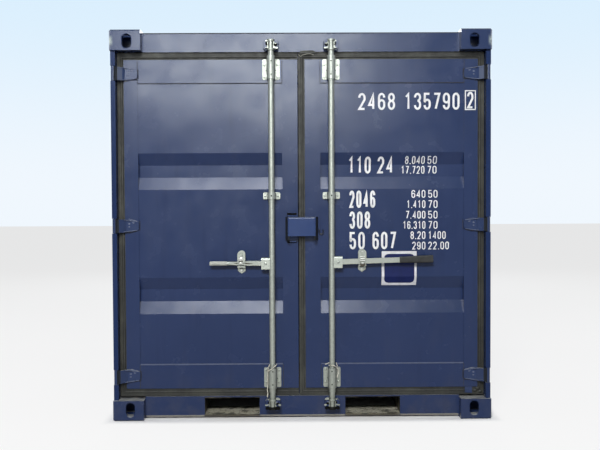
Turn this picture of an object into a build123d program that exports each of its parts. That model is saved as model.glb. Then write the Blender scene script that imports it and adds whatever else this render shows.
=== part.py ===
"""Storage container, 8 ft long, with a pair of cargo doors at one end.

Millimetres. +Z is up, the door end faces -Y, and +X is to the right seen from the door end.
The origin is on the ground, under the middle of the container.
"""

from build123d import *
import math
import os

# Overall size, over the corner castings
LENGTH = 2438
WIDTH = 2200
HEIGHT = 2260
HALF_L = LENGTH / 2
HALF_W = WIDTH / 2

# Corner castings
CAST_X = 178
CAST_Y = 162
CAST_Z = 118
CAST_WALL = 28
CAST_FLOOR = 26
CAST_BACK = 14
CAST_LID = 12
CAST_BEVEL = 8
HOLE_TALL = 79.5
HOLE_BEVEL = 4
FRONT_HOLE_WIDE = 51
SIDE_HOLE_WIDE = 63.5
HOLE_FROM_FLOOR = 66
HOLE_FROM_SIDE = 100
LOCK_SLOT_LONG = 124
LOCK_SLOT_WIDE = 63.5
LOCK_SLOT_X = 101.5
LOCK_SLOT_Y = 89

# Steel thicknesses
PLATE = 6
SHEET = 2
RAIL_WALL = 4

# Gap that a moving piece keeps from a fixed one, and the fits of pins and rods
RUNNING_GAP = 5
PIN_FIT = 0.1
ROD_FIT = 0.1

# Frame of the door end
SIDE_INSET = 3
TOP_INSET = 10
POST_RECESS = 20
POST_LIP = 27
POST_LIP_DEPTH = 41
STOP_BEHIND = 11
STOP_WIDE = 52
DOOR_RECESS = 70
HEADER_RECESS = 66
HEADER_TALL = 110.5
HEADER_STOP_DROP = 28
SILL_LOW = 8
SILL_TALL = 120.5
SILL_DEEP = 115

# Floor, underframe and fork pockets
FLOOR_STEP = 31.5
PLYWOOD = 28
MEMBER_LOW = 17
MEMBER_FLANGE = 45
MEMBER_COUNT = 6
POCKET_CENTRE = 413
POCKET_WIDE = 322
POCKET_STRAP = 200

# Rails, side walls, back wall and roof
RAIL_OVER_FLOOR = 10
BOTTOM_RAIL_FLANGE = 42
TOP_RAIL = 60
RAIL_INSET = 6
WALL_INSET = 10
WALL_DEPTH = 36
WALL_SLOPE = 68
WALL_OUTER_FLAT = 72
WALL_INNER_FLAT = 70
ROOF_DEPTH = 20
ROOF_FLAT = 90
ROOF_SLOPE = 14
BACK_POST_FLANGE = 112
BACK_RAIL_DEEP = 60

# Door leaves
LEAF_SIDE_GAP = 39
LEAF_FOOT_GAP = 46.5
LEAF_HEAD_GAP = 44
LEAF_GAP = 42
LEAF_DEEP = 50
OUTER_STILE = 80
INNER_STILE = 90
TOP_RAIL_TALL = 136
LOWER_RAIL_TALL = 138
STILE_WALL = 4
STILE_NOTCH_WIDE = 10
STILE_NOTCH_TALL = 68
PANEL_SET_BACK = 6
CHANNEL_DEEP = 36
CHANNEL_SLOPE = 71
CHANNEL_FLAT = 71
LOWER_CHANNEL_UP = 407
UPPER_CHANNEL_DOWN = 511

# Door seal
SEAL_SET_BACK = 4
SEAL_DEEP = 20
SEAL_LIP_WIDE = 14
SEAL_LIP_BACK = 3
SEAL_BEAD_WIDE = 13
SEAL_BEAD_ROUND = 4
SEAL_GROOVE_BACK = 7

# Hinges
PIN_INSET = 16
PIN_BEHIND = 34
PIN_R = 6.5
KNUCKLE_R = 13
KNUCKLE_TALL = 85
BLADE_THICK = 8
BLADE_REACH = 134
BLADE_ROOT_TALL = 76
BLADE_TIP_TALL = 50
BLADE_TIP_ROUND = 12
BLADE_STRAIGHT = 21
RIM_WIDE = 9
RIM_HIGH = 3
CRANK_FROM_PIN = 24
CRANK_HALF_THICK = 5
LUG_THICK = 12
LUG_GAP = 1
NOTCH_DEEP = 60
HINGE_FROM_FOOT = 77
HINGE_FROM_HEAD = 82.5

# Locking rods, their bearings, cams and keepers
ROD_X = 174
ROD_R = 17
ROD_AHEAD = 36
BEARING_R = 25
BEARING_PLATE_WIDE = 100
BEARING_PLATE_THICK = 8
BEARING_ROUND = 8
END_BEARING_TALL = 117
LOWER_BEARING_UP = 6
MIDDLE_BEARING_TALL = 40
BEARING_OVER_BOX = 124
COLLAR_R = 20
TOP_COLLAR_R = 24
TOP_COLLAR_TALL = 16
LOW_COLLAR_TALL = 23
THIN_COLLAR_TALL = 6
COLLAR_GAP = 1
CAM_TALL = 62
CAM_FLANGE = 11
WING_R = 24.5
WING_THICK = 16
WING_SCOOP = 9
KEEPER_WIDE = 90
KEEPER_TALL = 66
KEEPER_BASE = 6
KEEPER_CORNER = 15
KEEPER_LEAN = 4
CHEEK_GAP = 3
LIP_BACK = 14
LIP_GAP = 21.5
LIP_THICK = 7
UPPER_KEEPER_UP = 34.5
LOWER_KEEPER_DOWN = 41.5

# Handles, retainers and catches
LEFT_HANDLE_Z = 912
RIGHT_HANDLE_Z = 918
RIVET_OUT = 37
RIVET_R = 6
HUB_IN = 10
HUB_OUT = 62
HUB_DROP = 35
HUB_RISE = 34
FORK_GAP = 16
FORK_PLATE = 5
BAR_THICK = 12
BAR_TALL = 30
LEFT_HANDLE_REACH = 362
LEFT_GRIP_LONG = 105
LEFT_GRIP_R = 12.5
GRIP_END_BEVEL = 5
FLAT_BEVEL = 3
SQUEEZE_HALF_TALL = 12
CREASE_LONG = 46
CREASE_APART = 2
CREASE_AWAY = CREASE_LONG / 2 + CREASE_APART
CREASE_HALF_TALL = 3
CREASE_DEEP = 3
RIGHT_HANDLE_REACH = 590
RIGHT_HANDLE_TILT = 1.6
GRIP_LONG = 195
GRIP_START_TALL = 37
GRIP_END_TALL = 45
GRIP_THICK = 24
GRIP_ROUND = 8
RETAINER_OUT = 178
RETAINER_WIDE = 44
RETAINER_DROP = 62
RETAINER_RISE = 73
RETAINER_POINT = 15
SHELF_DROP = 16
SHELF_THICK = 8
SHELF_LIP = 2
CATCH_RISE = 51
CATCH_DROP = 4
CATCH_PIN_R = 6
CATCH_BOSS_R = 13
CATCH_HEAD_R = 10
CATCH_HEAD_THICK = 4
CATCH_THICK = 5
CATCH_FIT = 0.3

# Lock box and its plate
BOX_HALF_WIDE = 80
BOX_FLANK = 17
BOX_LOW = 1070
BOX_TALL = 110
BOX_SIDE_DROP = 24
BOX_PLATE = 4
BOX_ROUND = 9
BOX_FRONT_GAP = 5
LOCK_PLATE_THICK = 4
LOCK_PLATE_OUT = 85
LOCK_PLATE_IN = 9
LOCK_PLATE_DROP = 36
LOCK_PLATE_RISE = 25
LOCK_FLANGE = 15
EYE_THICK = 6
EYE_GAP = 10
EYE_HOLE_R = 7
EYE_TALL = 62
EYE_HOLE_DROP = 42
EYE_BEHIND = 20
HOOK_R = 11
HOOK_WIRE_R = 3
HOOK_AHEAD = 10
HOOK_UP = 20
HOOK_LEG = 14
HOOK_STEPS = 6
WIRE_SIDES = 8

# Places worked out from the sizes above
DOOR_END = -HALF_L
CAST_END = DOOR_END + CAST_Y
LEAF_FRONT = DOOR_END + DOOR_RECESS
LEAF_BACK = LEAF_FRONT + LEAF_DEEP
STOP_FACE = LEAF_BACK + STOP_BEHIND
POST_FACE = DOOR_END + POST_RECESS
POST_SIDE = HALF_W - SIDE_INSET
POST_INNER = POST_SIDE - POST_LIP
HEADER_FACE = DOOR_END + HEADER_RECESS
HEADER_TOP = HEIGHT - TOP_INSET
HEADER_LOW = HEADER_TOP - HEADER_TALL
SILL_TOP = SILL_LOW + SILL_TALL
LEDGE_LOW = SILL_TOP - PLATE
FLOOR_TOP = SILL_TOP + FLOOR_STEP
BOTTOM_RAIL_TOP = FLOOR_TOP + RAIL_OVER_FLOOR
RAIL_SIDE = HALF_W - RAIL_INSET
WALL_SIDE = HALF_W - WALL_INSET
LEAF_EDGE = POST_INNER - LEAF_SIDE_GAP
LEAF_INNER = LEAF_GAP / 2
LEAF_LOW = SILL_TOP + LEAF_FOOT_GAP
LEAF_TOP = HEADER_LOW - LEAF_HEAD_GAP
PANEL_FRONT = LEAF_FRONT + PANEL_SET_BACK
PANEL_LOW = LEAF_LOW + LOWER_RAIL_TALL
PANEL_TOP = LEAF_TOP - TOP_RAIL_TALL
PIN_X = HALF_W - PIN_INSET
PIN_Y = DOOR_END + PIN_BEHIND
HINGE_LOW = LEAF_LOW + HINGE_FROM_FOOT
HINGE_TOP = LEAF_TOP - HINGE_FROM_HEAD
HINGE_HEIGHTS = (HINGE_LOW, (HINGE_LOW + HINGE_TOP) / 2, HINGE_TOP)
ROD_Y = LEAF_FRONT - ROD_AHEAD
UPPER_KEEPER_Z = HEADER_LOW + UPPER_KEEPER_UP
LOWER_KEEPER_Z = SILL_TOP - LOWER_KEEPER_DOWN
ROD_LOW = LOWER_KEEPER_Z - KEEPER_TALL / 2
ROD_TOP = UPPER_KEEPER_Z + KEEPER_TALL / 2
POCKET_INNER = POCKET_CENTRE - POCKET_WIDE / 2
POCKET_OUTER = POCKET_CENTRE + POCKET_WIDE / 2
SEAL_FRONT = LEAF_FRONT + SEAL_SET_BACK
SEAL_EDGE = POST_INNER - RUNNING_GAP
SEAL_LOW = SILL_TOP + RUNNING_GAP
SEAL_TOP = HEADER_LOW - RUNNING_GAP
BAR_FRONT = ROD_Y - BAR_THICK / 2
CATCH_BACK = BAR_FRONT - RUNNING_GAP
CATCH_FRONT = CATCH_BACK - CATCH_THICK
BOX_FRONT = DOOR_END + BOX_FRONT_GAP
BOX_TOP = BOX_LOW + BOX_TALL
BOX_CLEAR = LEAF_FRONT - LOCK_PLATE_THICK - RUNNING_GAP


def block(x, y, z):
    """Box between three (low, high) pairs."""
    centre = [(low + high) / 2 for low, high in (x, y, z)]
    size = [high - low for low, high in (x, y, z)]
    return Pos(*centre) * Box(*size)


def plan_prism(points, low, high):
    """Prism of an outline in plan (x, y), between two heights."""
    face = make_face(Polyline(*points, close=True))
    return Pos(0, 0, low) * extrude(face, amount=high - low)


def cross_prism(points, left, right):
    """Prism of an outline seen from the side (y, z), between two x places."""
    face = Plane.YZ.offset(left) * make_face(Polyline(*points, close=True))
    return extrude(face, amount=right - left)


def front_prism(points, front, back):
    """Prism of an outline seen from the door end (x, z), between two y places."""
    face = Plane.XZ.offset(-back) * make_face(Polyline(*points, close=True))
    return extrude(face, amount=back - front)


def along_y(x, z, radius, front, back):
    """Round bar that runs along Y."""
    return Pos(x, (front + back) / 2, z) * Rot(90, 0, 0) * Cylinder(radius, back - front)


def along_x(y, z, radius, left, right):
    """Round bar that runs along X."""
    return Pos((left + right) / 2, y, z) * Rot(0, 90, 0) * Cylinder(radius, right - left)


def upright(x, y, radius, low, high):
    """Round bar that stands upright."""
    return Pos(x, y, (low + high) / 2) * Cylinder(radius, high - low)


def folded(points, thickness):
    """Outline of a folded sheet: the line through the points, thickened to its left."""
    steps = []
    for (x0, y0), (x1, y1) in zip(points, points[1:]):
        run = math.hypot(x1 - x0, y1 - y0)
        steps.append((-(y1 - y0) / run, (x1 - x0) / run))
    normals = [steps[0]] + steps + [steps[-1]]
    left = []
    for (x, y), (ax, ay), (bx, by) in zip(points, normals, normals[1:]):
        share = thickness / (1 + ax * bx + ay * by)
        left.append((x + (ax + bx) * share, y + (ay + by) * share))
    return list(points) + left[::-1]


def waves(start, end, crest, trough, slope, flats):
    """Points of a trapezoid corrugation along one line, starting and ending on the crest."""
    first, second = flats
    pitch = first + second + 2 * slope
    count = int((end - start - first) // pitch)
    margin = (end - start - count * pitch + first) / 2
    points = [(start, crest)]
    for i in range(count):
        at = start + margin + i * pitch
        points.append((at, crest))
        points.append((at + slope, trough))
        points.append((at + slope + second, trough))
        points.append((at + 2 * slope + second, crest))
    points.append((end, crest))
    return points


def both_sides(shape):
    """The shape at the right side and its mirror image at the left side."""
    return [shape, mirror(shape, about=Plane.YZ)]


def bevelled_slot(plane, long, wide, deep):
    """Slot cut from a plane inwards, with a bevel round its mouth."""
    slot = extrude(plane * SlotOverall(long, wide), amount=deep)
    mouth = SlotOverall(long + 2 * HOLE_BEVEL, wide + 2 * HOLE_BEVEL)
    return slot + extrude(plane * mouth, amount=HOLE_BEVEL, taper=45)


def casting():
    """Corner casting at the bottom of the door end, right side, with its cavity and three holes."""
    side = HALF_W
    body = block((side - CAST_X, side), (DOOR_END, CAST_END), (0, CAST_Z))
    outer = []
    for edge in body.edges():
        middle = edge.center()
        on_faces = [
            abs(middle.X - side) < 1,
            abs(middle.Y - DOOR_END) < 1,
            abs(middle.Z) < 1,
        ]
        if sum(on_faces) == 2:
            outer.append(edge)
    body = chamfer(outer, CAST_BEVEL)
    body -= block(
        (side - CAST_X + CAST_BACK, side - CAST_WALL),
        (DOOR_END + CAST_WALL, CAST_END - CAST_BACK),
        (CAST_FLOOR, CAST_Z - CAST_LID),
    )
    front = Plane((side - HOLE_FROM_SIDE, DOOR_END, HOLE_FROM_FLOOR), x_dir=(0, 0, 1), z_dir=(0, 1, 0))
    body -= bevelled_slot(front, HOLE_TALL, FRONT_HOLE_WIDE, CAST_WALL)
    flank = Plane((side, DOOR_END + LOCK_SLOT_Y, HOLE_FROM_FLOOR), x_dir=(0, 0, 1), z_dir=(-1, 0, 0))
    body -= bevelled_slot(flank, HOLE_TALL, SIDE_HOLE_WIDE, CAST_WALL)
    under = Plane((side - LOCK_SLOT_X, DOOR_END + LOCK_SLOT_Y, 0), x_dir=(1, 0, 0), z_dir=(0, 0, 1))
    body -= extrude(under * SlotOverall(LOCK_SLOT_LONG, LOCK_SLOT_WIDE), amount=CAST_FLOOR)
    return body


def corner_castings():
    """All eight castings, by name."""
    upside_down = Plane.XY.offset(HEIGHT / 2)
    found = {}
    for level in ("bottom", "top"):
        for end in ("door_end", "back_end"):
            for side in ("right", "left"):
                shape = casting()
                if level == "top":
                    shape = mirror(shape, about=upside_down)
                if end == "back_end":
                    shape = mirror(shape, about=Plane.XZ)
                if side == "left":
                    shape = mirror(shape, about=Plane.YZ)
                found[f"casting_{level}_{end}_{side}"] = shape
    return found


def door_post():
    """Post at the right of the doors: a hooked front bar, with a door stop behind the leaf."""
    low, high = CAST_Z, HEIGHT - CAST_Z
    hook = [
        (POST_INNER, POST_FACE + POST_LIP_DEPTH),
        (POST_INNER, POST_FACE),
        (POST_SIDE, POST_FACE),
        (POST_SIDE, CAST_END),
        (POST_SIDE - STOP_WIDE, CAST_END),
        (POST_SIDE - STOP_WIDE, STOP_FACE),
        (POST_SIDE - PLATE, STOP_FACE),
    ]
    post = plan_prism(folded(hook[:4], PLATE), low, high)
    post += plan_prism(folded(hook[3:], PLATE), low, high)
    for z in HINGE_HEIGHTS:
        half = KNUCKLE_TALL / 2 + LUG_GAP
        post -= block(
            (POST_INNER - 1, HALF_W),
            (DOOR_END, POST_FACE + NOTCH_DEEP),
            (z - half, z + half),
        )
    return post


def hinge_pins():
    """Lugs behind the lip of the right post, with the hinge pins that they hold."""
    solids = []
    for z in HINGE_HEIGHTS:
        half = KNUCKLE_TALL / 2 + LUG_GAP
        pin = upright(PIN_X, PIN_Y, PIN_R, z - half - LUG_THICK, z + half + LUG_THICK)
        for low in (z - half - LUG_THICK, z + half):
            pin += block(
                (POST_INNER + PLATE, POST_SIDE - PLATE),
                (POST_FACE + PLATE, POST_FACE + POST_LIP_DEPTH),
                (low, low + LUG_THICK),
            )
        solids.append(pin)
    return Compound(solids)


def door_header():
    """Box beam over the doors, with the stop that the top seal closes on."""
    back = CAST_END
    side = HALF_W - CAST_X
    outer = [
        (STOP_FACE, HEADER_LOW),
        (HEADER_FACE, HEADER_LOW),
        (HEADER_FACE, HEADER_TOP),
        (back, HEADER_TOP),
        (back, HEADER_LOW - HEADER_STOP_DROP),
        (STOP_FACE, HEADER_LOW - HEADER_STOP_DROP),
    ]
    inner = [
        (STOP_FACE + PLATE, HEADER_LOW + PLATE),
        (HEADER_FACE + PLATE, HEADER_LOW + PLATE),
        (HEADER_FACE + PLATE, HEADER_TOP - PLATE),
        (back - PLATE, HEADER_TOP - PLATE),
        (back - PLATE, HEADER_LOW - HEADER_STOP_DROP + PLATE),
        (STOP_FACE + PLATE, HEADER_LOW - HEADER_STOP_DROP + PLATE),
    ]
    return cross_prism(outer, -side, side) - cross_prism(inner, -side, side)


def door_sill():
    """Folded sill under the doors, with a stop behind the leaves and two openings for forks."""
    side = HALF_W - CAST_X
    line = [
        (HEADER_FACE + SILL_DEEP - PLATE, SILL_LOW),
        (HEADER_FACE, SILL_LOW),
        (HEADER_FACE, SILL_TOP),
        (STOP_FACE, SILL_TOP),
        (STOP_FACE, FLOOR_TOP),
        (CAST_END, FLOOR_TOP),
    ]
    outline = folded(line[::-1], PLATE)
    sill = cross_prism(outline, -side, side)
    for pocket in both_sides(
        block(
            (POCKET_INNER, POCKET_OUTER),
            (DOOR_END, HEADER_FACE + PLATE),
            (SILL_LOW + PLATE, LEDGE_LOW),
        )
    ):
        sill -= pocket
    return sill


def back_sill():
    """Channel across the foot of the back wall, with the openings of the fork pockets."""
    side = HALF_W - CAST_X
    face = HALF_L - RAIL_INSET
    line = [
        (face - BACK_RAIL_DEEP, SILL_LOW),
        (face, SILL_LOW),
        (face, BOTTOM_RAIL_TOP),
        (face - BACK_RAIL_DEEP, BOTTOM_RAIL_TOP),
    ]
    sill = cross_prism(folded(line, PLATE), -side, side)
    for pocket in both_sides(
        block((POCKET_INNER, POCKET_OUTER), (face - PLATE, HALF_L), (SILL_LOW + PLATE, LEDGE_LOW))
    ):
        sill -= pocket
    return sill


def back_top_rail():
    """Hollow rail across the top of the back wall."""
    side = HALF_W - CAST_X
    face = HALF_L - RAIL_INSET
    rail = block((-side, side), (face - TOP_RAIL, face), (HEADER_TOP - TOP_RAIL, HEADER_TOP))
    rail -= block(
        (-side, side),
        (face - TOP_RAIL + RAIL_WALL, face - RAIL_WALL),
        (HEADER_TOP - TOP_RAIL + RAIL_WALL, HEADER_TOP - RAIL_WALL),
    )
    return rail


def back_post():
    """Pressed corner post at the right of the back wall."""
    face = HALF_L - SIDE_INSET
    line = [
        (POST_SIDE - BACK_RAIL_DEEP, HALF_L - CAST_Y),
        (POST_SIDE, HALF_L - CAST_Y),
        (POST_SIDE, face),
        (POST_SIDE - BACK_POST_FLANGE, face),
        (POST_SIDE - BACK_POST_FLANGE, face - BACK_RAIL_DEEP),
    ]
    return plan_prism(folded(line, PLATE), CAST_Z, HEIGHT - CAST_Z)


def top_side_rail():
    """Hollow rail along the top of the right wall."""
    ends = (CAST_END, -CAST_END)
    rail = block((RAIL_SIDE - TOP_RAIL, RAIL_SIDE), ends, (HEADER_TOP - TOP_RAIL, HEADER_TOP))
    rail -= block(
        (RAIL_SIDE - TOP_RAIL + RAIL_WALL, RAIL_SIDE - RAIL_WALL),
        ends,
        (HEADER_TOP - TOP_RAIL + RAIL_WALL, HEADER_TOP - RAIL_WALL),
    )
    return rail


def bottom_side_rail():
    """Channel along the foot of the right wall, open towards the middle."""
    line = [
        (RAIL_SIDE - BOTTOM_RAIL_FLANGE, MEMBER_LOW),
        (RAIL_SIDE, MEMBER_LOW),
        (RAIL_SIDE, BOTTOM_RAIL_TOP),
        (RAIL_SIDE - BOTTOM_RAIL_FLANGE, BOTTOM_RAIL_TOP),
    ]
    return front_prism(folded(line, PLATE), CAST_END, -CAST_END)


def side_wall():
    """Corrugated sheet of the right wall."""
    ends = (CAST_END, -CAST_END)
    flats = (WALL_OUTER_FLAT, WALL_INNER_FLAT)
    line = waves(*ends, WALL_SIDE, WALL_SIDE - WALL_DEPTH, WALL_SLOPE, flats)
    points = [(x, y) for y, x in line]
    return plan_prism(folded(points, SHEET), BOTTOM_RAIL_TOP, HEADER_TOP - TOP_RAIL)


def back_wall():
    """Corrugated sheet of the back wall."""
    side = POST_SIDE - BACK_POST_FLANGE
    face = HALF_L - WALL_INSET
    flats = (WALL_OUTER_FLAT, WALL_INNER_FLAT)
    line = waves(-side, side, face, face - WALL_DEPTH, WALL_SLOPE, flats)
    wall = plan_prism(folded(line[::-1], SHEET), BOTTOM_RAIL_TOP, HEADER_TOP - TOP_RAIL)
    for corner in top_back_corners():
        wall -= corner
    return wall


def top_back_corners():
    """The room that the two top castings of the back end take."""
    corner = block((HALF_W - CAST_X, HALF_W), (-CAST_END, HALF_L), (HEIGHT - CAST_Z, HEIGHT))
    return both_sides(corner)


def roof():
    """Roof sheet, its edges on the rails and its troughs across the container."""
    half = RAIL_SIDE - TOP_RAIL
    lip = TOP_RAIL / 2
    start = CAST_END
    end = HALF_L - RAIL_INSET - TOP_RAIL
    line = waves(start, end, HEADER_TOP, HEADER_TOP - ROOF_DEPTH, ROOF_SLOPE, (ROOF_FLAT, ROOF_FLAT))
    sheet = cross_prism(folded(line, SHEET), -half, half)
    rim = block((-half - lip, half + lip), (start, end), (HEADER_TOP, HEADER_TOP + SHEET))
    rim -= block((-half, half), (start, end), (HEADER_TOP, HEADER_TOP + SHEET))
    sheet += rim
    for corner in top_back_corners():
        sheet -= corner
    return sheet


def floor_boards():
    """Plywood floor, cut back round the corner posts of the back wall."""
    side = RAIL_SIDE - BOTTOM_RAIL_FLANGE
    end = HALF_L - RAIL_INSET - BACK_RAIL_DEEP
    boards = block((-side, side), (CAST_END, end), (FLOOR_TOP - PLYWOOD, FLOOR_TOP))
    post = block((POST_SIDE - BACK_POST_FLANGE, HALF_W), (-CAST_END, HALF_L), (0, HEIGHT))
    for corner in both_sides(post):
        boards -= corner
    return boards


def cross_members():
    """Channels under the floor, between the side rails and the fork pockets."""
    high = FLOOR_TOP - PLYWOOD
    start = CAST_END + POCKET_STRAP / 2
    end = -CAST_END - MEMBER_FLANGE
    step = (end - start) / (MEMBER_COUNT - 1)
    inner = (-POCKET_INNER + PLATE, POCKET_INNER - PLATE)
    outer = (POCKET_OUTER + PLATE, RAIL_SIDE - PLATE)
    solids = []
    for i in range(MEMBER_COUNT):
        y = start + i * step
        line = [
            (y + MEMBER_FLANGE, MEMBER_LOW + PLATE),
            (y, MEMBER_LOW + PLATE),
            (y, high),
            (y + MEMBER_FLANGE, high),
        ]
        outline = folded(line[::-1], RAIL_WALL)
        solids.append(cross_prism(outline, *inner))
        solids.extend(both_sides(cross_prism(outline, *outer)))
    return Compound(solids)


def fork_pocket():
    """Right tunnel for a fork: a channel upside down, with a strap under each end."""
    start = HEADER_FACE + PLATE
    end = HALF_L - RAIL_INSET - PLATE
    line = [
        (POCKET_OUTER + PLATE, SILL_LOW + PLATE),
        (POCKET_OUTER + PLATE, LEDGE_LOW),
        (POCKET_INNER - PLATE, LEDGE_LOW),
        (POCKET_INNER - PLATE, SILL_LOW + PLATE),
    ]
    tunnel = front_prism(folded(line, PLATE), start, end)
    for low, high in ((start, start + POCKET_STRAP), (end - POCKET_STRAP, end)):
        tunnel += block(
            (POCKET_INNER - PLATE, POCKET_OUTER + PLATE),
            (low, high),
            (SILL_LOW + PLATE, SILL_LOW + 2 * PLATE),
        )
    return tunnel


def keeper(z):
    """Cam keeper on the right of the header or sill: a base with two lipped cheeks."""
    face = HEADER_FACE - KEEPER_BASE
    half = KEEPER_WIDE / 2
    low, high = z - KEEPER_TALL / 2, z + KEEPER_TALL / 2
    lip_front = ROD_Y - LIP_BACK - LIP_THICK
    cheek_inner = WING_R + CHEEK_GAP
    outline = [
        (ROD_X - half, HEADER_FACE),
        (ROD_X - half, face),
        (ROD_X - half + KEEPER_LEAN, lip_front),
        (ROD_X - LIP_GAP, lip_front),
        (ROD_X - LIP_GAP, ROD_Y - LIP_BACK),
        (ROD_X - cheek_inner, ROD_Y - LIP_BACK),
        (ROD_X - cheek_inner, face),
        (ROD_X + cheek_inner, face),
        (ROD_X + cheek_inner, ROD_Y - LIP_BACK),
        (ROD_X + LIP_GAP, ROD_Y - LIP_BACK),
        (ROD_X + LIP_GAP, lip_front),
        (ROD_X + half - KEEPER_LEAN, lip_front),
        (ROD_X + half, face),
        (ROD_X + half, HEADER_FACE),
    ]
    shape = block((ROD_X - half, ROD_X + half), (lip_front, HEADER_FACE), (low, high))
    shape = chamfer(shape.edges().filter_by(Axis.Y), KEEPER_CORNER)
    return plan_prism(outline, low, high) & shape


def leaf_frame():
    """Frame of the right leaf: two hollow stiles, and a channel at the top and foot."""
    depth = (LEAF_FRONT, LEAF_BACK)
    frame = None
    for low, high in ((LEAF_INNER, LEAF_INNER + INNER_STILE), (LEAF_EDGE - OUTER_STILE, LEAF_EDGE)):
        stile = block((low, high), depth, (LEAF_LOW, LEAF_TOP))
        stile -= block(
            (low + STILE_WALL, high - STILE_WALL),
            (LEAF_FRONT + STILE_WALL, LEAF_BACK - STILE_WALL),
            (LEAF_LOW, LEAF_TOP),
        )
        frame = stile if frame is None else frame + stile
    for low, high in ((LEAF_LOW, PANEL_LOW), (PANEL_TOP, LEAF_TOP)):
        line = [(LEAF_BACK, low), (LEAF_FRONT, low), (LEAF_FRONT, high), (LEAF_BACK, high)]
        outline = folded(line[::-1], STILE_WALL)
        frame += cross_prism(outline, LEAF_INNER + INNER_STILE, LEAF_EDGE - OUTER_STILE)
    return frame


def leaf_panel():
    """Sheet of the right leaf, with two channels pressed inwards."""
    line = [(PANEL_FRONT, PANEL_LOW)]
    for middle in (PANEL_LOW + LOWER_CHANNEL_UP, PANEL_TOP - UPPER_CHANNEL_DOWN):
        flat = CHANNEL_FLAT / 2
        line.append((PANEL_FRONT, middle - flat - CHANNEL_SLOPE))
        line.append((PANEL_FRONT + CHANNEL_DEEP, middle - flat))
        line.append((PANEL_FRONT + CHANNEL_DEEP, middle + flat))
        line.append((PANEL_FRONT, middle + flat + CHANNEL_SLOPE))
    line.append((PANEL_FRONT, PANEL_TOP))
    outline = folded(line[::-1], SHEET)
    return cross_prism(outline, LEAF_INNER + INNER_STILE, LEAF_EDGE - OUTER_STILE)


def seal_ring(inner_edge, inset, width, front):
    """One ring of the right seal: from an inset behind its outer edge, of a width, up to a front plane."""
    outer = block(
        (inner_edge + inset, SEAL_EDGE - inset),
        (front, SEAL_FRONT + SEAL_DEEP),
        (SEAL_LOW + inset, SEAL_TOP - inset),
    )
    room = inset + width
    return outer - block(
        (inner_edge + room, SEAL_EDGE - room),
        (front, SEAL_FRONT + SEAL_DEEP),
        (SEAL_LOW + room, SEAL_TOP - room),
    )


def leaf_seal(centre_strip):
    """Rubber seal round the right leaf, with the strip between the leaves if asked for."""
    inner_edge = -LEAF_INNER + RUNNING_GAP if centre_strip else -LEAF_SIDE_GAP
    groove = block(
        (inner_edge, SEAL_EDGE),
        (SEAL_FRONT + SEAL_GROOVE_BACK, SEAL_FRONT + SEAL_DEEP),
        (SEAL_LOW, SEAL_TOP),
    )
    bead = seal_ring(inner_edge, SEAL_LIP_WIDE, SEAL_BEAD_WIDE, SEAL_FRONT)
    front_edges = [edge for edge in bead.edges() if abs(edge.center().Y - SEAL_FRONT) < 0.1]
    bead = fillet(front_edges, SEAL_BEAD_ROUND)
    seal = groove + seal_ring(inner_edge, 0, SEAL_LIP_WIDE, SEAL_FRONT + SEAL_LIP_BACK) + bead
    seal -= block((LEAF_INNER, LEAF_EDGE), (LEAF_FRONT, LEAF_BACK), (LEAF_LOW, LEAF_TOP))
    if not centre_strip:
        return seal - block((-LEAF_EDGE, LEAF_INNER), (LEAF_FRONT, LEAF_BACK), (SEAL_LOW, SEAL_TOP))
    return seal + stile_notch(RUNNING_GAP)


def stile_notch(gap):
    """The notch in the top of the left inner stile that the centre strip fills, less a gap."""
    return block(
        (-LEAF_INNER - STILE_NOTCH_WIDE + gap, -LEAF_INNER + gap + SEAL_LIP_BACK),
        (SEAL_FRONT + SEAL_LIP_BACK, SEAL_FRONT + SEAL_DEEP),
        (LEAF_TOP - STILE_NOTCH_TALL + gap, LEAF_TOP - gap),
    )


def blade_outline(z, inset):
    """Outline of a hinge blade seen from the front, straight at the root and tapered to its end."""
    tip = PIN_X - BLADE_REACH + inset
    bend = LEAF_EDGE - BLADE_STRAIGHT
    root_half = BLADE_ROOT_TALL / 2 - inset
    tip_half = BLADE_TIP_TALL / 2 - inset
    points = [
        (PIN_X, z - root_half),
        (PIN_X, z + root_half),
        (bend, z + root_half),
        (tip, z + tip_half),
        (tip, z - tip_half),
        (bend, z - root_half),
    ]
    shape = front_prism(points, DOOR_END, LEAF_BACK)
    corners = [edge for edge in shape.edges().filter_by(Axis.Y) if abs(edge.center().X - tip) < 0.1]
    return fillet(corners, BLADE_TIP_ROUND - inset / 2)


def blade_arm(z, raised):
    """Crank and flat of a hinge blade in plan, with its front face raised by some millimetres."""
    on_leaf = LEAF_FRONT - BLADE_THICK - raised
    front = PIN_Y - CRANK_HALF_THICK - raised
    crank_start = PIN_X - CRANK_FROM_PIN
    crank_end = LEAF_EDGE - LUG_GAP
    tip = PIN_X - BLADE_REACH
    points = [
        (PIN_X, front),
        (crank_start - RIM_HIGH, front),
        (crank_end - BLADE_THICK, on_leaf),
        (tip, on_leaf),
        (tip, LEAF_FRONT),
        (crank_end, LEAF_FRONT),
        (crank_start + RIM_HIGH, PIN_Y + CRANK_HALF_THICK),
        (PIN_X, PIN_Y + CRANK_HALF_THICK),
    ]
    return plan_prism(points, z - KNUCKLE_TALL / 2, z + KNUCKLE_TALL / 2)


def hinge_blade(z):
    """Pressed hinge blade of the right leaf: knuckle, crank, and a tapered end with a raised rim."""
    outline = blade_outline(z, 0)
    blade = blade_arm(z, 0) & outline
    blade += (blade_arm(z, RIM_HIGH) & outline) - blade_outline(z, RIM_WIDE)
    blade += upright(PIN_X, PIN_Y, KNUCKLE_R, z - KNUCKLE_TALL / 2, z + KNUCKLE_TALL / 2)
    return blade - upright(PIN_X, PIN_Y, PIN_R + PIN_FIT, z - KNUCKLE_TALL, z + KNUCKLE_TALL)


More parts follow.
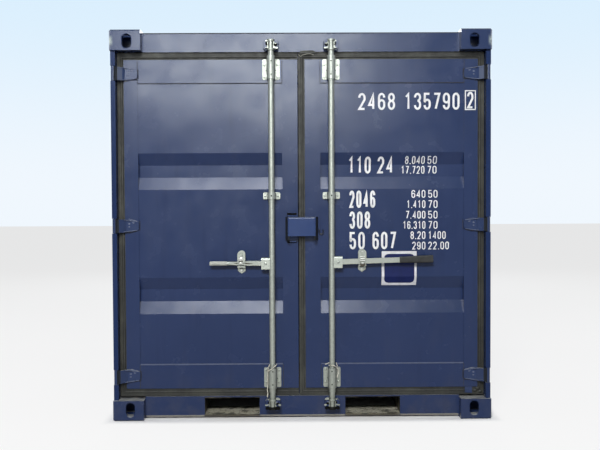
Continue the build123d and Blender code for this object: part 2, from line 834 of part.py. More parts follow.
def bearing(low, high):
    """Rod bearing of the right leaf: a plate with round corners, and a half round housing."""
    half = BEARING_PLATE_WIDE / 2
    plate = block(
        (ROD_X - half, ROD_X + half),
        (LEAF_FRONT - BEARING_PLATE_THICK, LEAF_FRONT),
        (low, high),
    )
    plate = fillet(plate.edges().filter_by(Axis.Y), BEARING_ROUND)
    housing = upright(ROD_X, ROD_Y, BEARING_R, low, high)
    housing += block((ROD_X - BEARING_R, ROD_X + BEARING_R), (ROD_Y, LEAF_FRONT), (low, high))
    return plate + housing - upright(ROD_X, ROD_Y, ROD_R + ROD_FIT, low, high)


def rod_bearings():
    """The three bearings of the right rod."""
    foot = LEAF_LOW + LOWER_BEARING_UP
    middle = BOX_TOP + BEARING_OVER_BOX
    middle_half = MIDDLE_BEARING_TALL / 2
    return Compound(
        [
            bearing(foot, foot + END_BEARING_TALL),
            bearing(middle - middle_half, middle + middle_half),
            bearing(LEAF_TOP - END_BEARING_TALL, LEAF_TOP),
        ]
    )


def cam(z):
    """Cam of the right rod: two round flanges, and between them a wing that is scooped at each side."""
    half = CAM_TALL / 2
    wing = WING_THICK / 2
    body = upright(ROD_X, ROD_Y, WING_R, z - half, z + half)
    for front, back in ((ROD_Y - WING_R, ROD_Y - wing), (ROD_Y + wing, ROD_Y + WING_R)):
        body -= block(
            (ROD_X - WING_R, ROD_X + WING_R),
            (front, back),
            (z - half + CAM_FLANGE, z + half - CAM_FLANGE),
        )
    for x in (ROD_X - WING_R, ROD_X + WING_R):
        scoop = [(x - WING_SCOOP, z), (x, z + WING_SCOOP), (x + WING_SCOOP, z), (x, z - WING_SCOOP)]
        body -= front_prism(scoop, ROD_Y - wing, ROD_Y + wing)
    return body


def handle_fork(z):
    """Fork on the right rod, folded over a round top, with the rivet that the handle turns on."""
    half = FORK_GAP / 2 + FORK_PLATE
    low, bend = z - HUB_DROP, z + HUB_RISE - half
    start, end = ROD_X + HUB_IN, ROD_X + HUB_OUT
    fork = block((start, end), (ROD_Y - half, ROD_Y + half), (low, bend))
    fork += along_x(ROD_Y, bend, half, start, end)
    fork -= block((start, end), (ROD_Y - FORK_GAP / 2, ROD_Y + FORK_GAP / 2), (low, bend))
    fork -= along_x(ROD_Y, bend, FORK_GAP / 2, start, end)
    return fork + along_y(ROD_X + RIVET_OUT, z, RIVET_R, ROD_Y - half, ROD_Y + half)


def lock_rod(handle_z):
    """Right locking rod with its cams, its collars and the fork that holds the handle."""
    rod = upright(ROD_X, ROD_Y, ROD_R, ROD_LOW, ROD_TOP)
    rod += cam(LOWER_KEEPER_Z)
    rod += cam(UPPER_KEEPER_Z)
    over_top = LEAF_TOP + COLLAR_GAP
    rod += upright(ROD_X, ROD_Y, TOP_COLLAR_R, over_top, over_top + TOP_COLLAR_TALL)
    under_top = LEAF_TOP - END_BEARING_TALL - COLLAR_GAP
    rod += upright(ROD_X, ROD_Y, COLLAR_R, under_top - THIN_COLLAR_TALL, under_top)
    under_foot = LEAF_LOW + LOWER_BEARING_UP - COLLAR_GAP
    rod += upright(ROD_X, ROD_Y, COLLAR_R, under_foot - LOW_COLLAR_TALL, under_foot)
    return rod + handle_fork(handle_z)


def rivet_hole(z):
    """Hole of the right handle for the rivet of its fork."""
    return along_y(ROD_X + RIVET_OUT, z, RIVET_R + PIN_FIT, ROD_Y - BAR_TALL, ROD_Y + BAR_TALL)


def left_handle():
    """Handle of the left leaf, drawn at the right: a round tube pressed flat towards its rivet."""
    z = LEFT_HANDLE_Z
    start = ROD_X + RIVET_OUT - BAR_TALL / 2
    flat_end = ROD_X + RETAINER_OUT
    grip_start = ROD_X + LEFT_HANDLE_REACH - LEFT_GRIP_LONG
    end = ROD_X + LEFT_HANDLE_REACH
    thin = BAR_THICK / 2
    pressed = [
        (flat_end, ROD_Y - thin),
        (grip_start, ROD_Y - LEFT_GRIP_R),
        (end, ROD_Y - LEFT_GRIP_R),
        (end, ROD_Y + LEFT_GRIP_R),
        (grip_start, ROD_Y + LEFT_GRIP_R),
        (flat_end, ROD_Y + thin),
    ]
    tube = along_x(ROD_Y, z, LEFT_GRIP_R, flat_end, end)
    tube = chamfer(tube.edges().filter_by(GeomType.CIRCLE).sort_by(Axis.X)[-1], GRIP_END_BEVEL)
    bar = tube & plan_prism(pressed, z - BAR_TALL, z + BAR_TALL)
    outline = [
        (start, z - BAR_TALL / 2),
        (flat_end - CREASE_LONG, z - BAR_TALL / 2),
        (flat_end, z - SQUEEZE_HALF_TALL),
        (flat_end, z + SQUEEZE_HALF_TALL),
        (flat_end - CREASE_LONG, z + BAR_TALL / 2),
        (start, z + BAR_TALL / 2),
    ]
    flat = front_prism(outline, ROD_Y - thin, ROD_Y + thin)
    bar += chamfer([edge for edge in flat.edges() if abs(edge.center().Z - z) > 1], FLAT_BEVEL)
    for away in (-CREASE_AWAY, CREASE_AWAY):
        x = flat_end + away
        crease = [
            (x - CREASE_LONG / 2, z),
            (x, z + CREASE_HALF_TALL),
            (x + CREASE_LONG / 2, z),
            (x, z - CREASE_HALF_TALL),
        ]
        bar -= front_prism(crease, CATCH_BACK, BAR_FRONT + CREASE_DEEP)
    return mirror(bar - rivet_hole(z), about=Plane.YZ)


def tilted(shape):
    """The shape turned up about the rivet of the right handle, as the handle hangs in the photo."""
    pivot = Pos(ROD_X + RIVET_OUT, ROD_Y, RIGHT_HANDLE_Z)
    return pivot * Rot(0, -RIGHT_HANDLE_TILT, 0) * pivot.inverse() * shape


def handle_core(end):
    """Flat bar of the right handle, from behind its rivet to some reach, before it is tilted."""
    z = RIGHT_HANDLE_Z
    return block(
        (ROD_X + RIVET_OUT - BAR_TALL / 2, ROD_X + end),
        (BAR_FRONT, BAR_FRONT + BAR_THICK),
        (z - BAR_TALL / 2, z + BAR_TALL / 2),
    )


def right_handle():
    """Handle of the right leaf, up to the middle of its rubber grip."""
    bar = handle_core(RIGHT_HANDLE_REACH - GRIP_LONG / 2)
    return tilted(bar) - rivet_hole(RIGHT_HANDLE_Z)


def right_grip():
    """Rubber grip on the end of the right handle, a little taller at its end."""
    z = RIGHT_HANDLE_Z
    start = ROD_X + RIGHT_HANDLE_REACH - GRIP_LONG
    end = ROD_X + RIGHT_HANDLE_REACH
    points = [
        (start, z - GRIP_START_TALL / 2),
        (end, z - GRIP_END_TALL / 2),
        (end, z + GRIP_END_TALL / 2),
        (start, z + GRIP_START_TALL / 2),
    ]
    grip = front_prism(points, ROD_Y - GRIP_THICK / 2, ROD_Y + GRIP_THICK / 2)
    grip = fillet([edge for edge in grip.edges() if edge.length > GRIP_LONG / 2], GRIP_ROUND)
    return tilted(grip - handle_core(RIGHT_HANDLE_REACH - GRIP_LONG / 2))


def handle_retainer(z):
    """Plate on the right leaf with a pointed foot, the shelf of the handle and the pin of its catch."""
    x = ROD_X + RETAINER_OUT
    half = RETAINER_WIDE / 2
    foot = z - RETAINER_DROP
    shoulder = z + RETAINER_RISE - half
    outline = [
        (x, foot),
        (x + half, foot + RETAINER_POINT),
        (x + half, shoulder),
        (x - half, shoulder),
        (x - half, foot + RETAINER_POINT),
    ]
    plate = front_prism(outline, LEAF_FRONT, PANEL_FRONT)
    plate += along_y(x, shoulder, half, LEAF_FRONT, PANEL_FRONT)
    shelf_top = z - SHELF_DROP
    plate += block(
        (x - half, x + half),
        (BAR_FRONT - SHELF_LIP, PANEL_FRONT),
        (shelf_top - SHELF_THICK, shelf_top),
    )
    pin_z = z + CATCH_RISE
    head_back = CATCH_FRONT - CATCH_FIT
    plate += along_y(x, pin_z, CATCH_BOSS_R, CATCH_BACK + CATCH_FIT, PANEL_FRONT)
    plate += along_y(x, pin_z, CATCH_PIN_R, head_back, PANEL_FRONT)
    return plate + along_y(x, pin_z, CATCH_HEAD_R, head_back - CATCH_HEAD_THICK, head_back)


def catch(z):
    """Catch that hangs on the right retainer and covers the handle bar."""
    x = ROD_X + RETAINER_OUT
    half = RETAINER_WIDE / 2
    pin_z = z + CATCH_RISE
    tip = z - CATCH_DROP + half
    plate = block((x - half, x + half), (CATCH_FRONT, CATCH_BACK), (tip, pin_z))
    plate += along_y(x, tip, half, CATCH_FRONT, CATCH_BACK)
    plate += along_y(x, pin_z, half, CATCH_FRONT, CATCH_BACK)
    return plate - along_y(x, pin_z, CATCH_PIN_R + PIN_FIT, CATCH_FRONT, CATCH_BACK)


def padlock_eye(low, high, back):
    """Eye for the padlock: an upright plate between two x places, with a round hole."""
    front = BOX_FRONT + EYE_BEHIND
    top = BOX_TOP - BOX_PLATE
    eye = block((low, high), (front, back), (top - EYE_TALL, top))
    return eye - along_x((front + LEAF_FRONT) / 2, top - EYE_HOLE_DROP, EYE_HOLE_R, low, high)


def box_body(shell):
    """Outline of the lock box in plan, wider at the leaf, less the thickness of a shell all round."""
    front = BOX_FRONT + shell
    half = BOX_HALF_WIDE - shell
    foot = half + BOX_FLANK
    low = BOX_LOW - BOX_SIDE_DROP
    outline = [(-foot, LEAF_FRONT), (-half, front), (half, front), (foot, LEAF_FRONT)]
    body = plan_prism(outline, low, BOX_TOP - shell)
    rounded = []
    for edge in body.edges():
        middle = edge.center()
        at_front = abs(middle.Y - front) < 0.1
        if at_front and middle.Z > low + 1:
            rounded.append(edge)
    return fillet(rounded, BOX_ROUND - shell)


def lock_box():
    """Box over the meeting of the leaves, open below and carried by the right leaf."""
    outer = BOX_HALF_WIDE + BOX_FLANK
    box = box_body(0) - box_body(BOX_PLATE)
    box -= block((-outer, LEAF_INNER), (BOX_CLEAR, LEAF_FRONT), (0, HEIGHT))
    mouth = BOX_HALF_WIDE - BOX_ROUND
    box -= block((-mouth, mouth), (BOX_FRONT, BOX_FRONT + BOX_PLATE), (0, BOX_LOW))
    return box + padlock_eye(-LEAF_INNER, -LEAF_INNER + EYE_THICK, BOX_CLEAR)


def lock_plate():
    """Plate on the left leaf behind the lock box, with a flange at each end and an eye for the padlock."""
    eye_right = -LEAF_INNER - EYE_GAP
    sides = (-LOCK_PLATE_OUT, -LEAF_INNER - LOCK_PLATE_IN)
    low = BOX_LOW - LOCK_PLATE_DROP
    high = BOX_TOP + LOCK_PLATE_RISE
    line = [
        (LEAF_FRONT - LOCK_FLANGE, low),
        (LEAF_FRONT, low),
        (LEAF_FRONT, high),
        (LEAF_FRONT - LOCK_FLANGE, high),
    ]
    plate = cross_prism(folded(line, LOCK_PLATE_THICK), *sides)
    eye = padlock_eye(eye_right - EYE_THICK, eye_right, LEAF_FRONT)
    lid = block((-LOCK_PLATE_OUT, 0), (DOOR_END, LEAF_FRONT), (BOX_TOP - BOX_PLATE - RUNNING_GAP, BOX_TOP))
    return plate + (eye - lid)


def wire(points):
    """Bent wire of eight sides through some points, mitred where it bends, its first end facing +Y."""
    spots = [Vector(*point) for point in points]
    across = Vector(1, 0, 0)
    rings = []
    for i, spot in enumerate(spots):
        before = (spot - spots[i - 1]).normalized() if i else (spots[1] - spot).normalized()
        after = (spots[i + 1] - spot).normalized() if i + 1 < len(spots) else before
        normal = (before + after).normalized()
        if not rings:
            other = before.cross(across)
            corners = []
            for k in range(WIRE_SIDES):
                angle = 2 * math.pi * k / WIRE_SIDES
                corners.append(spot + (across * math.cos(angle) + other * math.sin(angle)) * HOOK_WIRE_R)
        else:
            corners = []
            for corner in rings[-1]:
                run = (spot - corner).dot(normal) / before.dot(normal)
                corners.append(corner + before * run)
        rings.append(corners)
    faces = [Face(Wire.make_polygon(rings[0])), Face(Wire.make_polygon(rings[-1]))]
    for first, second in zip(rings, rings[1:]):
        for k in range(WIRE_SIDES):
            following = (k + 1) % WIRE_SIDES
            quad = [first[k], first[following], second[following], second[k]]
            faces.append(Face(Wire.make_polygon(quad)))
    return Solid(Shell(faces))


def box_hook():
    """Small bent wire hook beside the lock box, its two ends on the leaf."""
    x = BOX_HALF_WIDE + BOX_FLANK + HOOK_R + 2 * HOOK_WIRE_R
    y = LEAF_FRONT - HOOK_AHEAD
    z = BOX_LOW + HOOK_UP
    points = [(x - HOOK_R, LEAF_FRONT, z + HOOK_LEG), (x - HOOK_R, y, z + HOOK_LEG)]
    for step in range(HOOK_STEPS + 1):
        angle = math.pi * step / HOOK_STEPS
        points.append((x - HOOK_R * math.cos(angle), y, z - HOOK_R * math.sin(angle)))
    points += [(x + HOOK_R, y, z + HOOK_LEG), (x + HOOK_R, LEAF_FRONT, z + HOOK_LEG)]
    return wire(points)


def left(shape):
    """The shape moved to the left side."""
    return mirror(shape, about=Plane.YZ)


def nodes():
    """Every piece of the container, by name."""
    found = corner_castings()
    found["door_post_right"] = door_post()
    found["door_post_left"] = left(door_post())
    found["door_header"] = door_header()
    found["door_sill"] = door_sill()
    found["back_post_right"] = back_post()
    found["back_post_left"] = left(back_post())
    found["back_top_rail"] = back_top_rail()
    found["back_sill"] = back_sill()
    found["top_side_rail_right"] = top_side_rail()
    found["top_side_rail_left"] = left(top_side_rail())
    found["bottom_side_rail_right"] = bottom_side_rail()
    found["bottom_side_rail_left"] = left(bottom_side_rail())
    found["side_wall_right"] = side_wall()
    found["side_wall_left"] = left(side_wall())
    found["back_wall"] = back_wall()
    found["roof"] = roof()
    found["floor_boards"] = floor_boards()
    found["cross_members"] = cross_members()
    found["fork_pocket_right"] = fork_pocket()
    found["fork_pocket_left"] = left(fork_pocket())
    found["upper_cam_keepers"] = Compound(both_sides(keeper(UPPER_KEEPER_Z)))
    found["lower_cam_keepers"] = Compound(both_sides(keeper(LOWER_KEEPER_Z)))
    found["hinge_pins_right"] = hinge_pins()
    found["hinge_pins_left"] = left(hinge_pins())
    blades = Compound([hinge_blade(z) for z in HINGE_HEIGHTS])
    found["right_door_frame"] = leaf_frame()
    found["left_door_frame"] = left(leaf_frame()) - stile_notch(0)
    found["right_door_panel"] = leaf_panel()
    found["left_door_panel"] = left(leaf_panel())
    found["right_door_seal"] = leaf_seal(True)
    found["left_door_seal"] = left(leaf_seal(False))
    found["right_hinge_blades"] = blades
    found["left_hinge_blades"] = left(blades)
    found["right_rod_bearings"] = rod_bearings()
    found["left_rod_bearings"] = left(rod_bearings())
    found["right_handle_retainer"] = handle_retainer(RIGHT_HANDLE_Z)
    found["left_handle_retainer"] = left(handle_retainer(LEFT_HANDLE_Z))
    found["right_catch"] = catch(RIGHT_HANDLE_Z)
    found["left_catch"] = left(catch(LEFT_HANDLE_Z))
    found["right_lock_rod"] = lock_rod(RIGHT_HANDLE_Z)
    found["left_lock_rod"] = left(lock_rod(LEFT_HANDLE_Z))
    found["right_handle"] = right_handle()
    found["right_handle_grip"] = right_grip()
    found["left_handle"] = left_handle()
    found["lock_box"] = lock_box()
    found["lock_plate"] = lock_plate()
    found["lock_box_hook"] = box_hook()
    return found


os.makedirs("parts", exist_ok=True)
for name, shape in nodes().items():
    export_step(shape, f"parts/{name}.step")
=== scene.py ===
"""Looks of the storage container: paint, galvanised gear, rubber, small parts, marks, light and camera.

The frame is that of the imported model: +Z up, the door end faces -Y, ground at z = 0. Small parts and marks are
given in millimetres, and shaders, lights and the camera in metres.
"""

import math
import random

import bmesh
import bpy
from mathutils import Matrix, Vector
from mathutils.bvhtree import BVHTree


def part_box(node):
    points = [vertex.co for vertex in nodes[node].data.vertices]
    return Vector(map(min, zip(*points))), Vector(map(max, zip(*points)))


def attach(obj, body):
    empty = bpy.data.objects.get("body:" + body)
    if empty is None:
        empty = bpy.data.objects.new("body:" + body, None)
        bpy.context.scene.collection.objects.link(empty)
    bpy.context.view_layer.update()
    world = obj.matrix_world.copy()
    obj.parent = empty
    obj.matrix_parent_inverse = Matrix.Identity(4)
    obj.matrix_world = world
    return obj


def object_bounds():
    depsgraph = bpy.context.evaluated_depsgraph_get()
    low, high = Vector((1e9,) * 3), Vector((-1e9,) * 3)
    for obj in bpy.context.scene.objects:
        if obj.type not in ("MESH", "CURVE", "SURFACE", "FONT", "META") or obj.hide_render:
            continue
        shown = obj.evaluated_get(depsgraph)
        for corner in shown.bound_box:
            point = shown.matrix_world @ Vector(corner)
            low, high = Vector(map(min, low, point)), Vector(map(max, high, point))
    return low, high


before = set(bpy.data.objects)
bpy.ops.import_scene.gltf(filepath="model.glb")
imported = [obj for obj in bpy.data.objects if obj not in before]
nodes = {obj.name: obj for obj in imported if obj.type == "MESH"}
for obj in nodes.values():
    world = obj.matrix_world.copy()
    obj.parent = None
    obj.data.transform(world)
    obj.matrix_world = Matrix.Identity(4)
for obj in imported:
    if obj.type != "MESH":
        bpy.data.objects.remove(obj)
CAD_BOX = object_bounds()
MM = 0.001
SIDES = {"left": -1, "right": 1}
FRONT = (0, -1, 0)
ACROSS = (1, 0, 0)
rng = random.Random(7)

# Colours, as linear red, green and blue
NAVY = (0.015, 0.030, 0.093)
NAVY_WORN = (0.018, 0.034, 0.102)
NAVY_DARK = (0.005, 0.011, 0.050)
# Pale navy, used as painted highlight on edges, rims and a keeper's bump, and on small pads of the hinges
NAVY_PALE = (0.075, 0.095, 0.17)
# Navy of the hinges, paler than the doors as a painted sheen of the sky; the paint patch on the seal has it too
NAVY_RIM = (0.022, 0.040, 0.110)
NAVY_BOX = (0.025, 0.050, 0.150)
# Painted sky reflection on the crank of the upper hinges
HINGE_SKY_REFLECTION = (0.09, 0.11, 0.175)
# Painted shade, for the lock box's flanks and the hinge pins in the posts' notches
PAINTED_SHADE = (0.008, 0.010, 0.015)
SCUFF = (0.40, 0.47, 0.45)
DUST = (0.20, 0.20, 0.18)
PALE_DUST = (0.40, 0.41, 0.39)
MUD = (0.16, 0.145, 0.105)
RUST = (0.17, 0.065, 0.025)
ZINC = (0.36, 0.375, 0.35)
ZINC_DULL = (0.22, 0.235, 0.215)
ZINC_LOW = (0.20, 0.205, 0.165)
# Zinc painted bright, as painted highlights on bolt heads and on the catches' domes and ribs
ZINC_HIGHLIGHT = (0.60, 0.61, 0.57)
ZINC_MATT = (0.47, 0.49, 0.45)
# Mud on the straps, painted brighter than mud as painted sunlight
STRAP_MUD_SUNLIT = (0.38, 0.37, 0.29)
STRAP_DUST_SUNLIT = (0.48, 0.47, 0.40)
DUSTY_STEEL = (0.22, 0.21, 0.19)
# Dark brown: painted shade in creases, recesses and under the catches' bolts and ribs, and mud under the straps
CREASE_DIRT_AND_SHADE = (0.075, 0.065, 0.048)
HOOK_DARK = (0.006, 0.008, 0.022)
# Dark sealant of joints, also painted shadow under the hinge blades
SEALANT_AND_SHADOW = (0.010, 0.012, 0.026)
SEAL = (0.016, 0.016, 0.014)
SEAL_GREY = (0.040, 0.040, 0.033)
PUTTY = (0.24, 0.24, 0.21)
GRIP = (0.008, 0.0075, 0.007)
GRIP_WORN = (0.015, 0.014, 0.013)
BLACK = (0.006, 0.006, 0.006)
MARK_WHITE = (0.80, 0.81, 0.83)
DECAL_WHITE = (0.72, 0.72, 0.76)
DECAL_BLUE = (0.007, 0.014, 0.085)
PLY = (0.30, 0.17, 0.085)
PLY_DARK = (0.17, 0.09, 0.045)
TIE = (0.60, 0.58, 0.50)

# How far a galvanised piece is from fresh zinc, as a share of its colour
ROD_TONE = (0.90, 0.90, 0.86)
PLATE_TONE = (0.88, 0.88, 0.85)
GEAR_TONE = (0.74, 0.73, 0.70)

# Where the paint is marked with painted reflection, painted shade and scuffs, in metres out from the middle and
# up from the ground
BLADE_ROOT = (1.033, 1.059)
PIN_LUG = (1.057, 1.080)
HIGH_HINGE = (1.8, 1.9)
PIN_SOFT = 0.003
BOX_FLANK = 0.0805
BOX_EAR_DEEP = 0.011
BOX_EAR_TOP = 1.070
BOX_SOFT = 0.001
CASTING_RUB_OUT = (1.072, 1.096)
CASTING_RUB_UP = (2.155, 2.235)
CASTING_RUB_SOFT = 0.04
# Height below which the rods are painted black as painted shadow under the lower keepers, and its soft edge
ROD_SHADOW_TOP = 0.070
ROD_SHADOW_SOFT = 0.004

# Depth of the waves in sheet and in rolled sections, in metres
SHEET_WAVES = 0.012
FRAME_WAVES = 0.004


class Shader:
    """A material with a Principled shader, and short calls for the nodes that feed it."""

    def __init__(self, name, roughness=0.5, metallic=0.0, specular=0.5):
        self.material = bpy.data.materials.new(name)
        self.material.use_nodes = True
        self.tree = self.material.node_tree
        self.tree.nodes.clear()
        self.output = self.add("ShaderNodeOutputMaterial")
        self.shader = self.add("ShaderNodeBsdfPrincipled")
        self.tree.links.new(self.shader.outputs[0], self.output.inputs[0])
        self.shader.inputs["Roughness"].default_value = roughness
        self.shader.inputs["Metallic"].default_value = metallic
        self.shader.inputs["Specular IOR Level"].default_value = specular
        self.place = self.add("ShaderNodeTexCoord").outputs["Object"]

    @classmethod
    def of_tree(cls, tree):
        """The same short calls for the empty node tree of a world."""
        made = cls.__new__(cls)
        made.tree = tree
        tree.nodes.clear()
        return made

    def add(self, kind):
        return self.tree.nodes.new(kind)

    def link(self, source, target):
        """Feeds an input from another node, or with a number or a colour."""
        if isinstance(source, (int, float)):
            target.default_value = source
        elif isinstance(source, tuple):
            target.default_value = (*source, 1)
        else:
            self.tree.links.new(source, target)

    def noise(self, scale, stretch=(1, 1, 1), detail=3, rough=0.55, seed=0.0):
        """Noise from 0 to 1 in the frame's metres, stretched along the axes."""
        mapping = self.add("ShaderNodeMapping")
        mapping.inputs["Scale"].default_value = stretch
        mapping.inputs["Location"].default_value = (seed, seed * 0.7, seed * 1.3)
        self.link(self.place, mapping.inputs["Vector"])
        texture = self.add("ShaderNodeTexNoise")
        texture.inputs["Scale"].default_value = scale
        texture.inputs["Detail"].default_value = detail
        texture.inputs["Roughness"].default_value = rough
        self.link(mapping.outputs[0], texture.inputs["Vector"])
        return texture.outputs["Fac"]

    def cells(self, scale):
        """Texture node of many small cells."""
        texture = self.add("ShaderNodeTexVoronoi")
        texture.inputs["Scale"].default_value = scale
        self.link(self.place, texture.inputs["Vector"])
        return texture

    def cell_edges(self, scale):
        """Distance to the edge of the nearest of many cells."""
        texture = self.cells(scale)
        texture.feature = "DISTANCE_TO_EDGE"
        return texture.outputs["Distance"]

    def cell_tones(self, scale):
        """A tone from 0 to 1 for each of many cells."""
        tone = self.add("ShaderNodeSeparateColor")
        self.link(self.cells(scale).outputs["Color"], tone.inputs[0])
        return tone.outputs[0]

    def ramp(self, value, low, high, start=0.0, end=1.0):
        """Value mapped from low..high to start..end, and held there beyond."""
        node = self.add("ShaderNodeMapRange")
        node.interpolation_type = "SMOOTHSTEP"
        self.link(value, node.inputs["Value"])
        node.inputs["From Min"].default_value = low
        node.inputs["From Max"].default_value = high
        node.inputs["To Min"].default_value = start
        node.inputs["To Max"].default_value = end
        return node.outputs["Result"]

    def math(self, how, a, b=0.0):
        node = self.add("ShaderNodeMath")
        node.operation = how
        self.link(a, node.inputs[0])
        self.link(b, node.inputs[1])
        return node.outputs[0]

    def times(self, a, b):
        return self.math("MULTIPLY", a, b)

    def between(self, value, low, high, soft):
        """1 where a value lies between two limits, with soft edges, and 0 elsewhere."""
        return self.times(self.ramp(value, low, low + soft), self.ramp(value, high, high - soft))

    def along(self, axis):
        """Place along X, Y or Z, in metres, at rest."""
        node = self.add("ShaderNodeSeparateXYZ")
        self.link(self.place, node.inputs[0])
        return node.outputs[axis]

    def off_middle(self):
        """Distance to the left or right of the middle, in metres, at rest."""
        return self.math("ABSOLUTE", self.along("X"))

    def facing_up(self):
        """1 on faces that look up, and 0 on upright ones."""
        node = self.add("ShaderNodeSeparateXYZ")
        self.link(self.add("ShaderNodeNewGeometry").outputs["Normal"], node.inputs[0])
        return self.ramp(node.outputs["Z"], 0.35, 0.9)

    def mix(self, share, a, b):
        """Colour a, with a share of colour b."""
        node = self.add("ShaderNodeMix")
        node.data_type = "RGBA"
        self.link(share, node.inputs["Factor"])
        self.link(a, node.inputs[6])
        self.link(b, node.inputs[7])
        return node.outputs[2]

    def bump(self, height, distance, before=None):
        """Bump of a depth in metres, on top of another one if asked for."""
        node = self.add("ShaderNodeBump")
        node.inputs["Distance"].default_value = distance
        self.link(height, node.inputs["Height"])
        if before is not None:
            self.link(before, node.inputs["Normal"])
        return node.outputs[0]

    def set(self, colour, roughness=None, normal=None):
        """Feeds the Principled shader and gives the finished material."""
        self.link(colour, self.shader.inputs["Base Color"])
        if roughness is not None:
            self.link(roughness, self.shader.inputs["Roughness"])
        if normal is not None:
            self.link(normal, self.shader.inputs["Normal"])
        return self.material


def hinge_marks(s, colour):
    """Hinges get painted sky reflection on the upper hinge's crank, and painted shade at the pin in the post's
    notch: the new colour, and where the shade is.
    """
    out = s.off_middle()
    upper = s.times(s.between(out, *BLADE_ROOT, PIN_SOFT), s.ramp(s.along("Z"), *HIGH_HINGE))
    return s.mix(upper, colour, HINGE_SKY_REFLECTION), s.between(out, *PIN_LUG, PIN_SOFT)


def lock_box_marks(s, colour):
    """The lock box gets painted shade on its flanks, and painted shadow further in below its lid: the colour,
    and where the shade is.
    """
    out = s.off_middle()
    inner = BOX_FLANK - BOX_EAR_DEEP
    below_lid = s.ramp(s.along("Z"), BOX_EAR_TOP, BOX_EAR_TOP - BOX_SOFT)
    shadow_on_ears = s.times(s.ramp(out, inner, inner + BOX_SOFT), below_lid)
    return colour, s.math("MAXIMUM", s.ramp(out, BOX_FLANK, BOX_FLANK + BOX_SOFT), shadow_on_ears)


def casting_marks(s, colour):
    """Top castings are scuffed at their outer edge, and get no painted shade: the new colour, and no shade."""
    rubbed = s.times(
        s.ramp(s.off_middle(), *CASTING_RUB_OUT),
        s.between(s.along("Z"), *CASTING_RUB_UP, CASTING_RUB_SOFT),
    )
    return s.mix(s.times(rubbed, s.ramp(s.noise(45, detail=4), 0.3, 0.55, 0.3, 0.9)), colour, SCUFF), None


def paint(name, waves=0.0, dirt=1.0, navy=NAVY, worn=NAVY_WORN, specular=0.22, marks=None):
    """Navy container paint: mottled, streaked by rain, muddy low down, and dusty and painted paler on top as a
    painted highlight, over wavy steel.
    """
    s = Shader(name, specular=specular)
    colour = s.mix(s.ramp(s.noise(1.6, detail=5), 0.35, 0.7), navy, worn)
    streaks = s.noise(6, stretch=(4, 4, 0.35), detail=4, seed=3.1)
    colour = s.mix(s.ramp(streaks, 0.52, 0.8, 0, 0.22 * dirt), colour, NAVY_DARK)
    chalk = s.noise(5, stretch=(2.5, 2.5, 0.6), detail=5, seed=7.7)
    colour = s.mix(s.ramp(chalk, 0.5, 0.8, 0, 0.03 * dirt), colour, DUST)
    low_down = s.ramp(s.along("Z"), 0.35, 0.0, 0, 0.10 * dirt)
    grime = s.times(low_down, s.ramp(s.noise(14, detail=6, seed=1.4), 0.35, 0.7))
    colour = s.mix(grime, colour, MUD)
    # Faces that look up are paler: settled dust, and a painted highlight of the light from above
    dust_and_highlight = s.times(s.facing_up(), s.ramp(s.noise(20, detail=5), 0.25, 0.7, 0.35, 0.9))
    dust_and_highlight = s.times(dust_and_highlight, s.ramp(s.along("Z"), 0.6, 1.6, 1.0, 0.3))
    colour = s.mix(dust_and_highlight, colour, s.mix(s.ramp(s.along("Z"), 0.5, 0.2), DUST, PALE_DUST))
    colour, shade_share = marks(s, colour) if marks else (colour, None)
    chips = s.ramp(s.noise(55, detail=2, seed=9.2), 0.79, 0.82)
    colour = s.mix(chips, colour, RUST)
    roughness = s.ramp(s.noise(9, detail=4, seed=5.5), 0.3, 0.75, 0.20, 0.29)
    # Painted shade where the marks ask for it, darker and rougher
    if shade_share is not None:
        colour = s.mix(shade_share, colour, PAINTED_SHADE)
        roughness = s.math("MAXIMUM", roughness, s.times(shade_share, 0.8))
    normal = s.bump(s.noise(420, detail=1), 0.00003)
    if waves:
        swell = s.noise(1.9, stretch=(1, 1, 0.75), detail=2, rough=0.4, seed=2.3)
        normal = s.bump(swell, waves, normal)
    return s.set(colour, roughness, normal)


def zinc(name, tone, shadow_below=0.0):
    """Hot-dip galvanised steel, dull and spangled, with drips and dirt, and painted black below a height as
    painted shadow under the lower keepers.
    """
    s = Shader(name, metallic=0.75)
    fresh = tuple(a * b for a, b in zip(ZINC, tone))
    colour = s.mix(s.ramp(s.cell_tones(120), 0.0, 1.0, 0.1, 0.6), fresh, ZINC_DULL)
    drips = s.noise(26, stretch=(1, 1, 0.4), detail=5)
    colour = s.mix(s.ramp(drips, 0.48, 0.75, 0, 0.45), colour, ZINC_DULL)
    colour = s.mix(s.ramp(s.noise(38, detail=4, seed=4.4), 0.66, 0.8, 0, 0.5), colour, MUD)
    colour = s.mix(s.ramp(s.along("Z"), 0.45, 0.1, 0, 0.35), colour, ZINC_LOW)
    if shadow_below:
        colour = s.mix(s.ramp(s.along("Z"), shadow_below + ROD_SHADOW_SOFT, shadow_below), colour, BLACK)
    roughness = s.ramp(s.noise(60, detail=3), 0.3, 0.7, 0.36, 0.55)
    return s.set(colour, roughness, s.bump(s.noise(150, detail=3), 0.0004))


def rubber(name, dark, pale, patches):
    """Weathered rubber, greyer in patches, with specks of dust."""
    s = Shader(name, specular=0.35)
    colour = s.mix(s.ramp(s.noise(patches, stretch=(1, 1, 0.6), detail=5), 0.4, 0.72), dark, pale)
    colour = s.mix(s.ramp(s.noise(110, detail=3, seed=6.1), 0.62, 0.8, 0, 0.3), colour, DUST)
    roughness = s.ramp(s.noise(40), 0.3, 0.7, 0.5, 0.7)
    return s.set(colour, roughness, s.bump(s.noise(220, detail=2), 0.0003))


